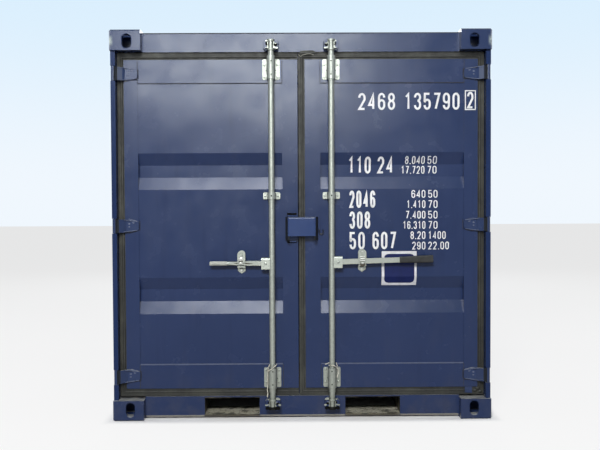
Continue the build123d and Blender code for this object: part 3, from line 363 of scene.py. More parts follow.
def strap_steel(name):
    """Bare, dirty steel in the mouths of the fork pockets, caked with cracked mud, whose tops are painted bright
    as painted sunlight.
    """
    s = Shader(name, roughness=0.8, specular=0.1)
    cracks = s.ramp(s.cell_edges(34), 0.0, 0.05)
    colour = s.mix(s.ramp(s.noise(12, detail=6), 0.35, 0.7), STRAP_MUD_SUNLIT, STRAP_DUST_SUNLIT)
    blots = s.ramp(s.noise(15, detail=6, seed=3.0), 0.54, 0.62, 0, 0.8)
    colour = s.mix(blots, s.mix(cracks, BLACK, colour), BLACK)
    # Upright faces get darker mud, and faces that look up get the mud painted bright as sunlight
    edges = s.mix(s.ramp(s.noise(16, detail=4), 0.4, 0.7), BLACK, MUD)
    return s.set(s.mix(s.facing_up(), edges, colour), None, s.bump(cracks, 0.0015))


def plywood(name):
    """Hardwood plywood of the floor, grained along the container and scuffed."""
    s = Shader(name, roughness=0.55)
    grain = s.noise(30, stretch=(1, 0.06, 1), detail=6)
    colour = s.mix(s.ramp(grain, 0.3, 0.7), PLY, PLY_DARK)
    colour = s.mix(s.ramp(s.noise(3, detail=6, seed=8.0), 0.5, 0.75, 0, 0.5), colour, DUST)
    return s.set(colour, None, s.bump(grain, 0.0006))


def plain(name, colour, roughness=0.5, metallic=0.0, wear=0.0, worn=DUST, scale=60, specular=0.5):
    """A colour that varies a little and may be worn, for marks and small parts."""
    s = Shader(name, roughness, metallic, specular)
    fade = tuple(0.82 * c for c in colour)
    mixed = s.mix(s.ramp(s.noise(scale, detail=4), 0.35, 0.7), colour, fade)
    if wear:
        rubbed = s.noise(scale * 3, detail=5, seed=2.2)
        mixed = s.mix(s.ramp(rubbed, 0.64, 0.72, 0, wear), mixed, worn)
    return s.set(mixed, None, s.bump(s.noise(scale * 4, detail=2), 0.0002))


LOOKS = {
    "panel": paint("navy_paint_on_sheet", SHEET_WAVES),
    "frame": paint("navy_paint_on_frame", FRAME_WAVES, marks=casting_marks),
    "post": paint("navy_paint_on_posts", FRAME_WAVES, specular=0.06),
    "hinge": paint("navy_paint_on_hinges_with_painted_light", navy=NAVY_RIM, worn=NAVY_RIM, marks=hinge_marks),
    "box": paint("navy_paint_on_lock_box_with_painted_shade", dirt=0.6, navy=NAVY_BOX, worn=NAVY_BOX, marks=lock_box_marks),
    "edge": plain("pale_paint_and_painted_highlight", NAVY_PALE, wear=0.3, scale=25),
    "dusty": plain("dusty_steel_edge", DUSTY_STEEL, 0.8, wear=0.5, worn=NAVY_DARK, scale=30),
    "crease": plain("dirt_and_painted_shade_in_creases", CREASE_DIRT_AND_SHADE, 0.9),
    "hook": plain("dark_hook", HOOK_DARK, 0.35),
    "rod": zinc("galvanised_rod_with_painted_shadow", ROD_TONE, ROD_SHADOW_TOP),
    "zinc": zinc("galvanised_steel", PLATE_TONE),
    "gear": zinc("galvanised_gear", GEAR_TONE),
    "bright": plain("zinc_painted_highlight", ZINC_HIGHLIGHT, 0.35, metallic=0.3),
    "matt": plain("matt_zinc", ZINC_MATT, 0.65, specular=0.3),
    "seal": rubber("seal_rubber", SEAL, SEAL_GREY, 9),
    "grip": rubber("grip_rubber", GRIP, GRIP_WORN, 30),
    "strap": strap_steel("muddy_steel_painted_sunlit"),
    "ply": plywood("plywood_floor"),
    # Black of holes, also used as painted shade at the keepers and the lock plate
    "hole": plain("dark_hole_and_painted_shade", BLACK, 0.9, specular=0.05),
    "seam": plain("dark_sealant_and_painted_shadow", SEALANT_AND_SHADOW, 0.8),
    "putty": plain("corner_putty", PUTTY, 0.8, wear=0.5, worn=SEAL),
    "white": plain("white_mark", MARK_WHITE, 0.55, wear=0.55, worn=NAVY_WORN, scale=25),
    "decal_white": plain("decal_border", DECAL_WHITE, 0.45, wear=0.3, scale=30),
    "decal_blue": plain("decal_field", DECAL_BLUE, scale=20, specular=0.15),
    "tie": plain("pale_tie", TIE, 0.7, wear=0.4),
}

# Looks of the CAD nodes by words in their names, where the last look that fits is taken
NODE_LOOKS = {
    "frame": ("",),
    "panel": ("_panel", "side_wall", "back_wall", "roof"),
    "post": ("door_post",),
    "box": ("lock_box", "lock_plate"),
    "hook": ("lock_box_hook",),
    "hinge": ("hinge",),
    "zinc": ("bearings",),
    "gear": ("handle", "catch"),
    "rod": ("lock_rod",),
    "seal": ("_seal",),
    "grip": ("_grip",),
    "strap": ("fork_pocket",),
    "ply": ("floor_boards",),
}
for node_name, node_object in nodes.items():
    fitting = [look for look, words in NODE_LOOKS.items() if any(word in node_name for word in words)]
    node_object.data.materials.clear()
    node_object.data.materials.append(LOOKS[fitting[-1]])

ROUND_SIDES = 20
DOME_RINGS = 12
BEAD_SIDES = 8
BEAD_STEP = 0.006
STRAND_WOBBLE = 0.12
DISC_THICK = 0.8
SHARP_ANGLE = math.radians(40)
# A bolt's washer, head and crown: the height of its middle, its height, and its radii below and above
BOLT_PARTS = ((0.15, 0.3, 1.25, 1.25), (0.55, 0.5, 1, 0.85), (0.9, 0.2, 0.85, 0.5))


def metres(place):
    """Vector of a place that is given in millimetres."""
    return Vector([v * MM for v in place])


def in_mm(corners):
    """Corners in millimetres, for corners in metres."""
    return [corner / MM for corner in corners]


class Pieces:
    """Many small solids in millimetres, gathered at the end of a with block into one object on one body."""

    def __init__(self, name, body, look):
        self.name = name
        self.body = body
        self.look = look
        self.mesh = bmesh.new()

    def __enter__(self):
        return self

    def __exit__(self, error, value, trace):
        if error is None:
            self.finish()

    def cone(self, centre, axis, low_radius, high_radius, length, sides=ROUND_SIDES):
        """Round bar about a centre along an axis, with a radius at each end, in metres."""
        turn = Vector((0, 0, 1)).rotation_difference(Vector(axis)).to_matrix().to_4x4()
        bmesh.ops.create_cone(
            self.mesh, cap_ends=True, segments=sides, radius1=low_radius, radius2=high_radius,
            depth=length, matrix=Matrix.Translation(centre) @ turn,
        )

    def cylinder(self, centre, axis, radius, length, sides=ROUND_SIDES):
        """Bar of a radius about a centre, along an axis."""
        self.cone(metres(centre), axis, radius * MM, radius * MM, length * MM, sides)

    def disc(self, centre, radius):
        """Thin disc on an upright face, such as a dark one for a hole."""
        self.cylinder(centre, FRONT, radius, DISC_THICK)

    def bolt(self, centre, radius, height):
        """Round head on a washer, standing on an upright face at its centre."""
        foot, radius, height = metres(centre), radius * MM, height * MM
        for middle, tall, low_wide, high_wide in BOLT_PARTS:
            spot = foot + Vector(FRONT) * (height * middle)
            self.cone(spot, FRONT, radius * low_wide, radius * high_wide, height * tall)

    def box(self, low, high):
        """Block between two corners."""
        low, high = metres(low), metres(high)
        place = Matrix.Translation((low + high) / 2) @ Matrix.Diagonal((*(high - low), 1))
        bmesh.ops.create_cube(self.mesh, size=1, matrix=place)

    def dome(self, centre, half_wide, deep, half_tall):
        """Oval bump on a surface at its centre."""
        size = Matrix.Diagonal((half_wide * MM, deep * MM, half_tall * MM, 1))
        place = Matrix.Translation(metres(centre)) @ size
        bmesh.ops.create_uvsphere(
            self.mesh, u_segments=ROUND_SIDES, v_segments=DOME_RINGS, radius=1, matrix=place
        )

    def prism(self, outline, front, back):
        """Prism of an upright outline of x and z between two y places."""
        rings = [[self.mesh.verts.new((x * MM, y * MM, z * MM)) for x, z in outline] for y in (front, back)]
        self.mesh.faces.new(rings[0])
        self.mesh.faces.new(rings[1][::-1])
        for i in range(len(outline)):
            j = (i + 1) % len(outline)
            self.mesh.faces.new((rings[0][j], rings[0][i], rings[1][i], rings[1][j]))

    def oval(self, x, z, half_wide, half_tall, front, back):
        """Upright oval plate between two y places."""
        turns = [math.tau * k / ROUND_SIDES for k in range(ROUND_SIDES)]
        self.prism([(x + half_wide * math.cos(a), z + half_tall * math.sin(a)) for a in turns], front, back)

    def strand(self, points, radius):
        """Soft cord through some points."""
        for start, end in zip(points, points[1:]):
            self.bead(start, end, radius, STRAND_WOBBLE)

    def bead(self, start, end, radius, wobble):
        """Weld bead between two points, a little uneven."""
        start = metres(start)
        run = metres(end) - start
        count = max(2, int(run.length / BEAD_STEP))
        turn = Vector((0, 0, 1)).rotation_difference(run.normalized()).to_matrix().to_4x4()
        rings = []
        for i in range(count + 1):
            size = radius * MM * (1 + wobble * (rng.random() - 0.5) * 2)
            centre = start + run * (i / count)
            ring = []
            for k in range(BEAD_SIDES):
                angle = math.tau * k / BEAD_SIDES
                spot = turn @ Vector((math.cos(angle) * size, math.sin(angle) * size, 0))
                ring.append(self.mesh.verts.new(centre + spot))
            rings.append(ring)
        for lower, upper in zip(rings, rings[1:]):
            for k in range(BEAD_SIDES):
                after = (k + 1) % BEAD_SIDES
                self.mesh.faces.new((lower[k], lower[after], upper[after], upper[k]))
        self.mesh.faces.new(rings[0][::-1])
        self.mesh.faces.new(rings[-1])

    def finish(self):
        data = bpy.data.meshes.new(self.name)
        bmesh.ops.recalc_face_normals(self.mesh, faces=self.mesh.faces)
        self.mesh.to_mesh(data)
        self.mesh.free()
        made = bpy.data.objects.new(self.name, data)
        bpy.context.scene.collection.objects.link(made)
        data.materials.append(LOOKS[self.look])
        for polygon in data.polygons:
            polygon.use_smooth = True
        data.set_sharp_from_angle(angle=SHARP_ANGLE)
        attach(made, self.body)


# Marks painted or stuck on the right leaf
PAINT_LIFT = 0.5
LAYER_LIFT = 0.1
AHEAD_OF_ALL = CAD_BOX[0][1] - 0.1


def surface_of(*names):
    """Search tree of the meshes of some CAD nodes."""
    verts, faces = [], []
    for name in names:
        data = nodes[name].data
        first = len(verts)
        verts.extend(v.co.copy() for v in data.vertices)
        faces.extend([first + i for i in polygon.vertices] for polygon in data.polygons)
    return BVHTree.FromPolygons(verts, faces)


def front_of(surface, x, z):
    """Point on the front of a surface, across and up in metres, or None beside it."""
    return surface.ray_cast(Vector((x, AHEAD_OF_ALL, z)), Vector((0, 1, 0)))[0]


def mark(name, verts, faces, look, lift=PAINT_LIFT, side="right"):
    """Flat mesh of x, layer and z, laid on a leaf and cut where its panel bends."""
    leaf = surface_of(f"{side}_door_panel", f"{side}_door_frame")
    bends = sorted({round(v.co.z, 4) for v in nodes[f"{side}_door_panel"].data.vertices})[1:-1]
    data = bpy.data.meshes.new(name)
    data.from_pydata([(x * MM, layer, z * MM) for x, layer, z in verts], [], faces)
    data.materials.append(LOOKS[look])
    made = bpy.data.objects.new(name, data)
    bpy.context.scene.collection.objects.link(made)
    mesh = bmesh.new()
    mesh.from_mesh(data)
    for height in bends:
        everything = mesh.verts[:] + mesh.edges[:] + mesh.faces[:]
        bmesh.ops.bisect_plane(mesh, geom=everything, plane_co=(0, 0, height), plane_no=(0, 0, 1))
    for vert in mesh.verts:
        hit = front_of(leaf, vert.co.x, vert.co.z)
        if hit is not None:
            vert.co.y = hit.y - lift * MM - vert.co.y * LAYER_LIFT * MM
    mesh.to_mesh(data)
    mesh.free()
    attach(made, f"{side}_door")


# Digits: sizes as shares of a digit's height or width
BOWL = 0.24
WAIST = 0.54
STROKE = 0.125
DIGIT_GAP = 0.34
DOT_WIDE = 0.30
ARC_STEP = 15
SAME_POINT = 1e-4
CLOSED_GAP = 1e-3
SHARPEST_MITRE = 0.5


def arc(x, y, across, up, start, end):
    """Points of an oval arc about a centre, between two angles in degrees."""
    count = max(2, round(abs(end - start) / ARC_STEP))
    angles = [math.radians(start + (end - start) * i / count) for i in range(count + 1)]
    return [(x + across * math.cos(a), y + up * math.sin(a)) for a in angles]


def digit_strokes(digit):
    """Centre lines of a narrow digit in a square from 0 to 1."""
    high = 1 - BOWL
    over = arc(0.5, high, 0.5, BOWL, 180, 0)
    under = arc(0.5, BOWL, 0.5, BOWL, 0, -180)
    lines = {
        "0": [over + under + [(0, high)]],
        "1": [[(0.15, 0.8), (0.6, 1), (0.6, 0)]],
        "2": [over + [(1, 0.62), (0, 0), (1, 0)]],
        "3": [
            over + arc(0.5, high, 0.5, high - WAIST, 0, -90),
            arc(0.5, 0.3, 0.5, WAIST - 0.3, 90, 0) + under,
        ],
        "4": [[(0.78, 0.5), (0.78, 1), (0, 0.27), (1, 0.27)], [(0.78, 0), (0.78, 0.55)]],
        "5": [[(0.95, 1), (0.05, 1), (0, 0.52)] + arc(0.5, 0.4, 0.5, 0.2, 150, 0) + under],
        "6": [
            arc(0.5, high, 0.5, BOWL, 0, 180) + arc(0.5, BOWL, 0.5, BOWL, 180, 360) + [(1, 0.38)],
            arc(0.5, 0.38, 0.5, 0.2, 0, 180),
        ],
        "7": [[(0, 1), (1, 1), (0.3, 0)]],
        "8": [arc(0.5, 0.77, 0.46, 0.23, -90, 270), arc(0.5, 0.27, 0.5, 0.27, 90, 450)],
    }
    if digit == "9":
        return [[(1 - u, 1 - v) for u, v in line] for line in digit_strokes("6")]
    return lines[digit]


def ribbon(points, half):
    """Corners of a band along a line, as pairs at its two sides, mitred where it bends."""
    points = [Vector(p) for p in points]
    points = [p for i, p in enumerate(points) if i == 0 or (p - points[i - 1]).length > SAME_POINT]
    closed = (points[0] - points[-1]).length < CLOSED_GAP
    pairs = []
    for i, point in enumerate(points):
        ahead = points[i + 1] if i + 1 < len(points) else points[1] if closed else None
        behind = points[i - 1] if i else points[-2] if closed else None
        after = (ahead - point).normalized() if ahead is not None else (point - behind).normalized()
        before = (point - behind).normalized() if behind is not None else after
        along = (before + after).normalized()
        side = Vector((-along.y, along.x))
        reach = half / max(SHARPEST_MITRE, along.dot(after))
        pairs.append((point + side * reach, point - side * reach))
    return pairs


def sign_lines(sign, start, width, low, high, half):
    """Centre lines of one digit or dot, whose strokes fill a box."""
    if sign == ".":
        middle = start + width / 2
        return [[(middle, low), (middle, low + 2 * half)]]
    inner_wide, inner_tall = width - 2 * half, high - low - 2 * half
    return [
        [(start + half + u * inner_wide, low + half + v * inner_tall) for u, v in line]
        for line in digit_strokes(sign)
    ]


def number(name, text, left, right, low, high):
    """Painted digits in a narrow face that fill a box."""
    widths = [DOT_WIDE if sign == "." else 1 for sign in text]
    unit = (right - left) / (sum(widths) + DIGIT_GAP * (len(text) - 1))
    half = STROKE * (high - low) / 2
    verts, faces = [], []
    start = left
    for sign, width in zip(text, widths):
        for layer, line in enumerate(sign_lines(sign, start, width * unit, low, high, half)):
            first = len(verts)
            pairs = ribbon(line, half)
            verts += [(x, layer, z) for pair in pairs for x, z in pair]
            corners = range(first, first + 2 * len(pairs) - 2, 2)
            faces += [(a, a + 1, a + 3, a + 2) for a in corners]
        start += (width + DIGIT_GAP) * unit
    mark(name, verts, faces, "white")


def ring(name, left, right, low, high, width, look):
    """Thin rectangular line inside a box."""
    outer = [(left, low), (right, low), (right, high), (left, high)]
    inner = [(left + width, low + width), (right - width, low + width)]
    inner += [(right - width, high - width), (left + width, high - width)]
    faces = [(i, (i + 1) % 4, 4 + (i + 1) % 4, 4 + i) for i in range(4)]
    mark(name, [(x, 0, z) for x, z in outer + inner], faces, look)


STICKER_STRIPS = 40


def sticker(name, left, right, low, high, radius, lift, look):
    """Flat plate with round corners that fills a box, built of level strips."""
    verts = []
    for i in range(STICKER_STRIPS + 1):
        z = low + (high - low) * i / STICKER_STRIPS
        edge = min(radius, z - low, high - z)
        inset = radius - math.sqrt(max(0, radius**2 - (radius - edge) ** 2))
        verts += [(left + inset, 0, z), (right - inset, 0, z)]
    faces = [(a, a + 1, a + 3, a + 2) for a in range(0, 2 * STICKER_STRIPS, 2)]
    mark(name, verts, faces, look, lift)


number("number_top_short", "2468", 334, 549, 1802, 1901)
number("number_top_long", "135790", 603, 926, 1802, 1901)
number("number_boxed", "2", 969, 1006, 1808, 1905)

# Rows of numbers: lower and upper edge, the big numbers, and the small ones at the top and at the foot of the
# row, each with its left and right edge
ROWS = (
    (1433, 1531, (("110", 275, 409), ("24", 448, 540)),
     (("8.040", 610, 726), ("50", 742, 797)), (("17.720", 588, 726), ("70", 742, 797))),
    (1231, 1332, (("2046", 280, 432),),
     (("640", 644, 726), ("50", 742, 797)), (("1.410", 616, 726), ("70", 742, 797))),
    (1109, 1210, (("308", 280, 402),),
     (("7.400", 610, 726), ("50", 742, 797)), (("16.310", 594, 726), ("70", 742, 797))),
    (988, 1090, (("50", 280, 370), ("607", 415, 553)),
     (("8.20", 638, 726), ("1400", 742, 845)), (("290", 648, 726), ("22.00", 742, 864))),
)
SMALL_TALL = 46
SMALL_ABOVE = 2
SMALL_BELOW = 3
for row, (low, high, big, upper, lower) in enumerate(ROWS, 1):
    top, foot = high + SMALL_ABOVE, low - SMALL_BELOW
    for kind, texts, text_low, text_high in (
        ("big", big, low, high),
        ("upper", upper, top - SMALL_TALL, top),
        ("lower", lower, foot, foot + SMALL_TALL),
    ):
        for part, (text, left, right) in enumerate(texts, 1):
            number(f"number_row_{row}_{kind}_{part}", text, left, right, text_low, text_high)

ring("number_box", 956, 1020, 1799, 1914, 6, "white")
sticker("decal_border", 469, 674, 774, 976, 1, PAINT_LIFT, "decal_white")
sticker("decal_field", 484, 661, 788, 960, 24, 2 * PAINT_LIFT, "decal_blue")

# Planes of the door gear, as places in y, and the axes of the rods and the handles' retainers, as places in x
ROD_X = 174
ROD_Y = -1185
BEARING_FACE = -1210
PLATE_FACE = -1157
LEAF_FACE = -1149
RETAINER_X = 352
HANDLE_Z = {"left": 912, "right": 918}

# Bolts and holes of the rod bearings: heights above the foot of a lower or upper bearing, and places beside
# the rod
BEARING_TALL = 117
BEARING_LIFT = 6
LOW_BOLTS = (32, 103)
HIGH_BOLTS = (14, 85)
SLEEVE_HOLES = (24, 101)
PLATE_HOLE = 52.5
BOLT_OUT = 37.5
PLATE_HOLE_OUT = 26
MIDDLE_BEARING_Z = 1304
BOLT_R = 7
BOLT_TALL = 5

for side, sign in SIDES.items():
    door, rod_x = f"{side}_door", sign * ROD_X
    leaf_low, leaf_high = in_mm(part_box(f"{side}_door_frame"))
    ends = ((leaf_low.z + BEARING_LIFT, LOW_BOLTS), (leaf_high.z - BEARING_TALL, HIGH_BOLTS))
    with (
        Pieces(f"{side}_bearing_holes", door, "hole") as holes,
        Pieces(f"{side}_bearing_bolts", door, "zinc") as bolts,
    ):
        for foot, bolt_heights in ends:
            for up in bolt_heights:
                for out in (-BOLT_OUT, BOLT_OUT):
                    bolts.bolt((rod_x + out, PLATE_FACE, foot + up), BOLT_R, BOLT_TALL)
            for up in SLEEVE_HOLES:
                holes.disc((rod_x - sign * 2, BEARING_FACE, foot + up), 4)
            for out in (-PLATE_HOLE_OUT, PLATE_HOLE_OUT):
                holes.disc((rod_x + out, PLATE_FACE, foot + PLATE_HOLE), 3.5)
        for out in (-BOLT_OUT, BOLT_OUT):
            bolts.bolt((rod_x + out, PLATE_FACE, MIDDLE_BEARING_Z), BOLT_R, BOLT_TALL)

    handle_z, retainer_x = HANDLE_Z[side], sign * RETAINER_X
    with Pieces(f"{side}_fork_rivet", f"{side}_rod", "zinc") as rivet:
        rivet.bolt((sign * 211, ROD_Y - 13, handle_z), 8, 4)
    with Pieces(f"{side}_retainer_bolts", door, "bright") as retainer:
        retainer.bolt((retainer_x, LEAF_FACE, handle_z - 44), BOLT_R, BOLT_TALL)
    with Pieces(f"{side}_retainer_slot", door, "hole") as slot:
        slot.box((retainer_x - 11, LEAF_FACE - 0.6, handle_z - 33), (retainer_x + 11, -1148, handle_z - 26))

# Cam keepers: painted shade in their recesses and painted shadow below them, bright claws, and a pale bump in
# painted highlight. An oval or dome has its place out from the axis of the rod, its height and its two half
# sizes, and an outline has its corners
KEEPER_FACE = -1206
KEEPER_AHEAD = {"hole": 0.4, "zinc": 2.5, "edge": 0.4}
TOP_KEEPER_MARKS = {
    "hole": [
        ("oval", 25, 2178, 6, 10), ("oval", -28, 2173, 11, 11),
        ("oval", -29, 2146, 11, 5), ("oval", 27, 2148, 6, 4),
    ],
    "zinc": [
        ("dome", -28, 2179, 8, 3.5),
        ("outline", (-20, 2158), (-20, 2151), (-38, 2149), (-43, 2153), (-41, 2157), (-30, 2159)),
        ("outline", (20, 2158), (20, 2152), (30, 2154), (27, 2158)),
        ("outline", (20, 2199), (20, 2190), (31, 2190), (28, 2198)),
    ],
}
LOW_KEEPER_MARKS = {
    "hole": [
        ("oval", 24, 100, 5, 6), ("oval", -29, 95, 9, 7), ("oval", -31, 68, 14, 11), ("oval", 30, 68, 13, 11),
    ],
    "zinc": [
        ("outline", (-20, 128), (-20, 117), (-36, 115), (-45, 117), (-40, 126), (-30, 129)),
        ("outline", (20, 122), (20, 114), (30, 117), (27, 122)),
        ("outline", (-33, 89), (-36, 82), (-46, 81), (-49, 86), (-45, 92), (-37, 92)),
        ("outline", (20, 93), (20, 86), (34, 82), (43, 82), (44, 89), (34, 89)),
    ],
    "edge": [("dome", -25, 103, 6, 4)],
}


def keeper_marks(name, marks, sign):
    """Plates and bumps on the front of a keeper."""
    axis = sign * ROD_X
    for look, shapes in marks.items():
        ahead = KEEPER_FACE - KEEPER_AHEAD[look]
        with Pieces(f"{name}_{look}", "container", look) as pieces:
            for kind, *places in shapes:
                if kind == "outline":
                    pieces.prism([(axis + sign * out, z) for out, z in places], ahead, KEEPER_FACE + 1)
                    continue
                out, z, half_wide, half_tall = places
                if kind == "oval":
                    pieces.oval(axis + sign * out, z, half_wide, half_tall, ahead, KEEPER_FACE)
                else:
                    pieces.dome((axis + sign * out, KEEPER_FACE, z), half_wide, 2.5, half_tall)


for side, sign in SIDES.items():
    keeper_marks(f"{side}_upper_keeper", TOP_KEEPER_MARKS, sign)
    keeper_marks(f"{side}_lower_keeper", LOW_KEEPER_MARKS, sign)

# Both catches: a bolt at the top, with painted shadow around and below it
CATCH_FACE = -1201
for side, bolt_z in (("left", 966), ("right", 975)):
    x = SIDES[side] * RETAINER_X
    with Pieces(f"{side}_catch_bolt_shadow", f"{side}_hasp", "crease") as bolt_shadow:
        bolt_shadow.oval(x, bolt_z - 2, 11, 10, CATCH_FACE - 0.5, CATCH_FACE)
    with Pieces(f"{side}_catch_bolt", f"{side}_hasp", "bright") as head:
        head.dome((x, CATCH_FACE, bolt_z), 8, 4, 7)

# Left catch: a domed tongue and a lip in painted highlight, with painted shade between them
with Pieces("left_catch_tongue", "left_hasp", "bright") as tongue:
    tongue.dome((-353, CATCH_FACE, 939), 15, 7, 14)
    tongue.dome((-354, CATCH_FACE, 914), 12, 5, 6)
with Pieces("left_catch_lip_shade", "left_hasp", "crease") as lip_shade:
    lip_shade.box((-366, CATCH_FACE - 0.5, 920), (-340, CATCH_FACE, 925))

# Right catch: three ribs in painted highlight with painted shadow under them, and a dark cup below as painted
# shade of a recess
with (
    Pieces("right_catch_rib_shadows", "right_hasp", "crease") as rib_shadows,
    Pieces("right_catch_ribs", "right_hasp", "bright") as ribs,
):
    for z in (947, 936, 926):
        ribs.cylinder((351, CATCH_FACE, z), ACROSS, 3.8, 27)
        rib_shadows.box((338, CATCH_FACE - 0.5, z - 6), (364, CATCH_FACE, z - 3))
    ribs.dome((352, CATCH_FACE + 1, 911), 10, 5, 5)
with Pieces("right_catch_cup", "right_hasp", "crease") as cup:
    cup.oval(352, 904, 15, 13, CATCH_FACE + 2, CATCH_FACE + 6)

# Sleeve on the outer end of the left handle, and painted shade in the two creases of its pressed bar
SLEEVE_R = 13.2
BAR_FACE = -1191
CREASE_Z = 911
CREASE_HALF = 5
with Pieces("left_handle_sleeve", "left_lever", "matt") as sleeve:
    sleeve.cylinder((-484, ROD_Y, HANDLE_Z["left"]), ACROSS, SLEEVE_R, 98, sides=28)
    sleeve.dome((-533, ROD_Y, HANDLE_Z["left"]), 5, SLEEVE_R, SLEEVE_R)
with Pieces("left_handle_creases", "left_lever", "crease") as creases:
    for near, far in ((-329, -278), (-375, -428)):
        wide_end = [(near, CREASE_Z + CREASE_HALF), (near, CREASE_Z - CREASE_HALF)]
        creases.prism(wide_end + [(far, CREASE_Z)], BAR_FACE - 0.5, BAR_FACE + 5)

# Cable ties left on the lower bearings: places across from the rod, ahead of it, and up
TIE_R = 3
TIES = {
    "left": [
        [(25, 20, 323), (8, 30, 310), (-8, 30, 297), (-20, 22, 287), (-28, 10, 276)],
        [(-15, 18, 323), (-26, 12, 303), (-27, 8, 280), (-28, 6, 240), (-28, 6, 200), (-31, 8, 175),
         (-28, 8, 152), (-31, 8, 130)],
    ],
    "right": [
        [(-40, 8, 321), (-18, 16, 331)],
        [(-22, 18, 318), (-8, 29, 318), (8, 29, 317), (26, 16, 305), (34, 6, 290), (35, 4, 265), (28, 8, 243)],
        [(23, 12, 330), (31, 8, 309)],
    ],
}
for side, sign in SIDES.items():
    with Pieces(f"{side}_bearing_tie", f"{side}_door", "tie") as tie:
        for strand in TIES[side]:
            tie.strand([(sign * ROD_X + x, ROD_Y - ahead, z) for x, ahead, z in strand], TIE_R)

# Hole in front of each middle bearing
for side, sign in SIDES.items():
    with Pieces(f"{side}_middle_bearing_hole", f"{side}_door", "hole") as pin_hole:
        pin_hole.disc((sign * ROD_X, BEARING_FACE, MIDDLE_BEARING_Z), 4.5)

# Lips that close the seals against the frame. The right leaf's seal laps over the middle, and the left one's
# ends behind it
SEAL_END = 1069
LIP_DEEP = 4.5
SEAL_FOOT = 129.5
SEAL_TOP = 2138.5
LIP_FRONT = -1146
LIP_BACK = -1142
INNER_END = {"left": -17, "right": -14}
for side, sign in SIDES.items():
    low_x, high_x = sorted((sign * SEAL_END, INNER_END[side]))
    edge_low, edge_high = sorted((sign * (SEAL_END - 5), sign * SEAL_END))
    with Pieces(f"{side}_seal_lips", f"{side}_door", "seal") as lips:
        lips.box((low_x, LIP_FRONT, SEAL_TOP - LIP_DEEP), (high_x, LIP_BACK, SEAL_TOP))
        lips.box((low_x, LIP_FRONT, SEAL_FOOT), (high_x, LIP_BACK, SEAL_FOOT + LIP_DEEP))
        lips.box((edge_low, LIP_FRONT, SEAL_FOOT), (edge_high, LIP_BACK, SEAL_TOP))

# Rubber of the right leaf's seal that rises over the header in the middle, with putty on it, and a patch of
# paint and lumps at the seal's lower outer corner
STRIP_FACE = -1156.5
with Pieces("seal_swell", "right_door", "seal") as swell:
    swell.prism([(-6, 2130), (92, 2130), (84, 2139), (-5, 2139)], STRIP_FACE, -1145)
    swell.prism([(-5, 2138), (84, 2138), (80, 2143), (66, 2147), (-4, 2145)], STRIP_FACE, -1153.5)
with Pieces("seal_putty", "right_door", "putty") as blob:
    blob.strand([(x, LIP_FRONT, z) for x, z in ((-13, 2124), (-3, 2113), (8, 2120))], 2.2)
    blob.strand([(x, -1156, z) for x, z in ((8, 2120), (34, 2126), (52, 2127), (74, 2121))], 2.6)
with Pieces("seal_paint_patch", "right_door", "hinge") as patch:
    patch.prism([(956, 140), (1000, 137), (1001, 177), (958, 176)], -1147, -1144)
with Pieces("seal_lumps", "right_door", "seal") as lumps:
    for x, z, half in ((1018, 152, 12), (1034, 165, 14), (1048, 146, 11)):
        lumps.dome((x, -1145, z), half, 4, half * 0.8)

# Hinge blades: heights of their middles, and the half of a blade's height from its tip to its root
HINGE_HEIGHTS = (252, 1132.5, 2013)
BLADE_TIP = 955
BLADE_TIP_HALF = 27
BLADE_SPREAD = 10.5
BLADE_RUN = 81
RIM_PLACES = (1034, 1000, 957)
# Places along a blade of the painted shadow beneath it
BLADE_SHADOW_PLACES = (1066, 1050, 1034, 1028, 1000, 950)
# Pale pads on a blade: place out from the middle, height above the blade's middle, and half of its width
PADS = ((1006, 11, 7), (981, 19, 8), (1006, -6, 6), (1030, -6, 6))


def blade_half(x):
    """Half of the height of a hinge blade at a distance from the middle of the container."""
    return BLADE_TIP_HALF + BLADE_SPREAD * min(1, max(0, (x - BLADE_TIP) / BLADE_RUN))


def on_front(surface, x, z):
    """Place on the front of a surface, or on the front of the leaf beside it."""
    hit = front_of(surface, x * MM, z * MM)
    return hit / MM if hit is not None else Vector((x, LEAF_FACE, z))


# Painted highlight along the foot of each panel, and at the hinge blades painted highlights on the rims, pale
# pads, and painted shadow below each blade and at its tip
for side, sign in SIDES.items():
    door = f"{side}_door"
    panel_low, panel_high = in_mm(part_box(f"{side}_door_panel"))
    with Pieces(f"{side}_panel_foot_highlight", door, "edge") as foot_highlight:
        foot_highlight.box(
            (panel_low.x + 2, LEAF_FACE - 0.8, panel_low.z + 1), (panel_high.x - 2, -1142, panel_low.z + 7)
        )
    ground = surface_of(f"{side}_hinge_blades", f"{door}_frame", f"{door}_panel", f"{door}_seal")
    with (
        Pieces(f"{side}_hinge_blade_shadow", door, "seam") as shades,
        Pieces(f"{side}_hinge_rim_highlights", door, "edge") as rim_highlights,
    ):
        for height in HINGE_HEIGHTS:
            for up in (-1, 1):
                heights = [height + up * (blade_half(x) - 2) for x in RIM_PLACES]
                rim_highlights.strand([on_front(ground, sign * x, z) for x, z in zip(RIM_PLACES, heights)], 2.2)
            heights = [height - blade_half(x) - 3 for x in BLADE_SHADOW_PLACES]
            shades.strand([on_front(ground, sign * x, z) for x, z in zip(BLADE_SHADOW_PLACES, heights)], 3.2)
            shades.strand([on_front(ground, sign * 946, height + up) for up in (-27, 0, 27)], 2.5)
    with Pieces(f"{side}_hinge_pads", door, "edge") as pads:
        for height in HINGE_HEIGHTS:
            for x, up, half in PADS:
                pads.dome((sign * x, PLATE_FACE, height + up), half, 1.6, half * 0.7)

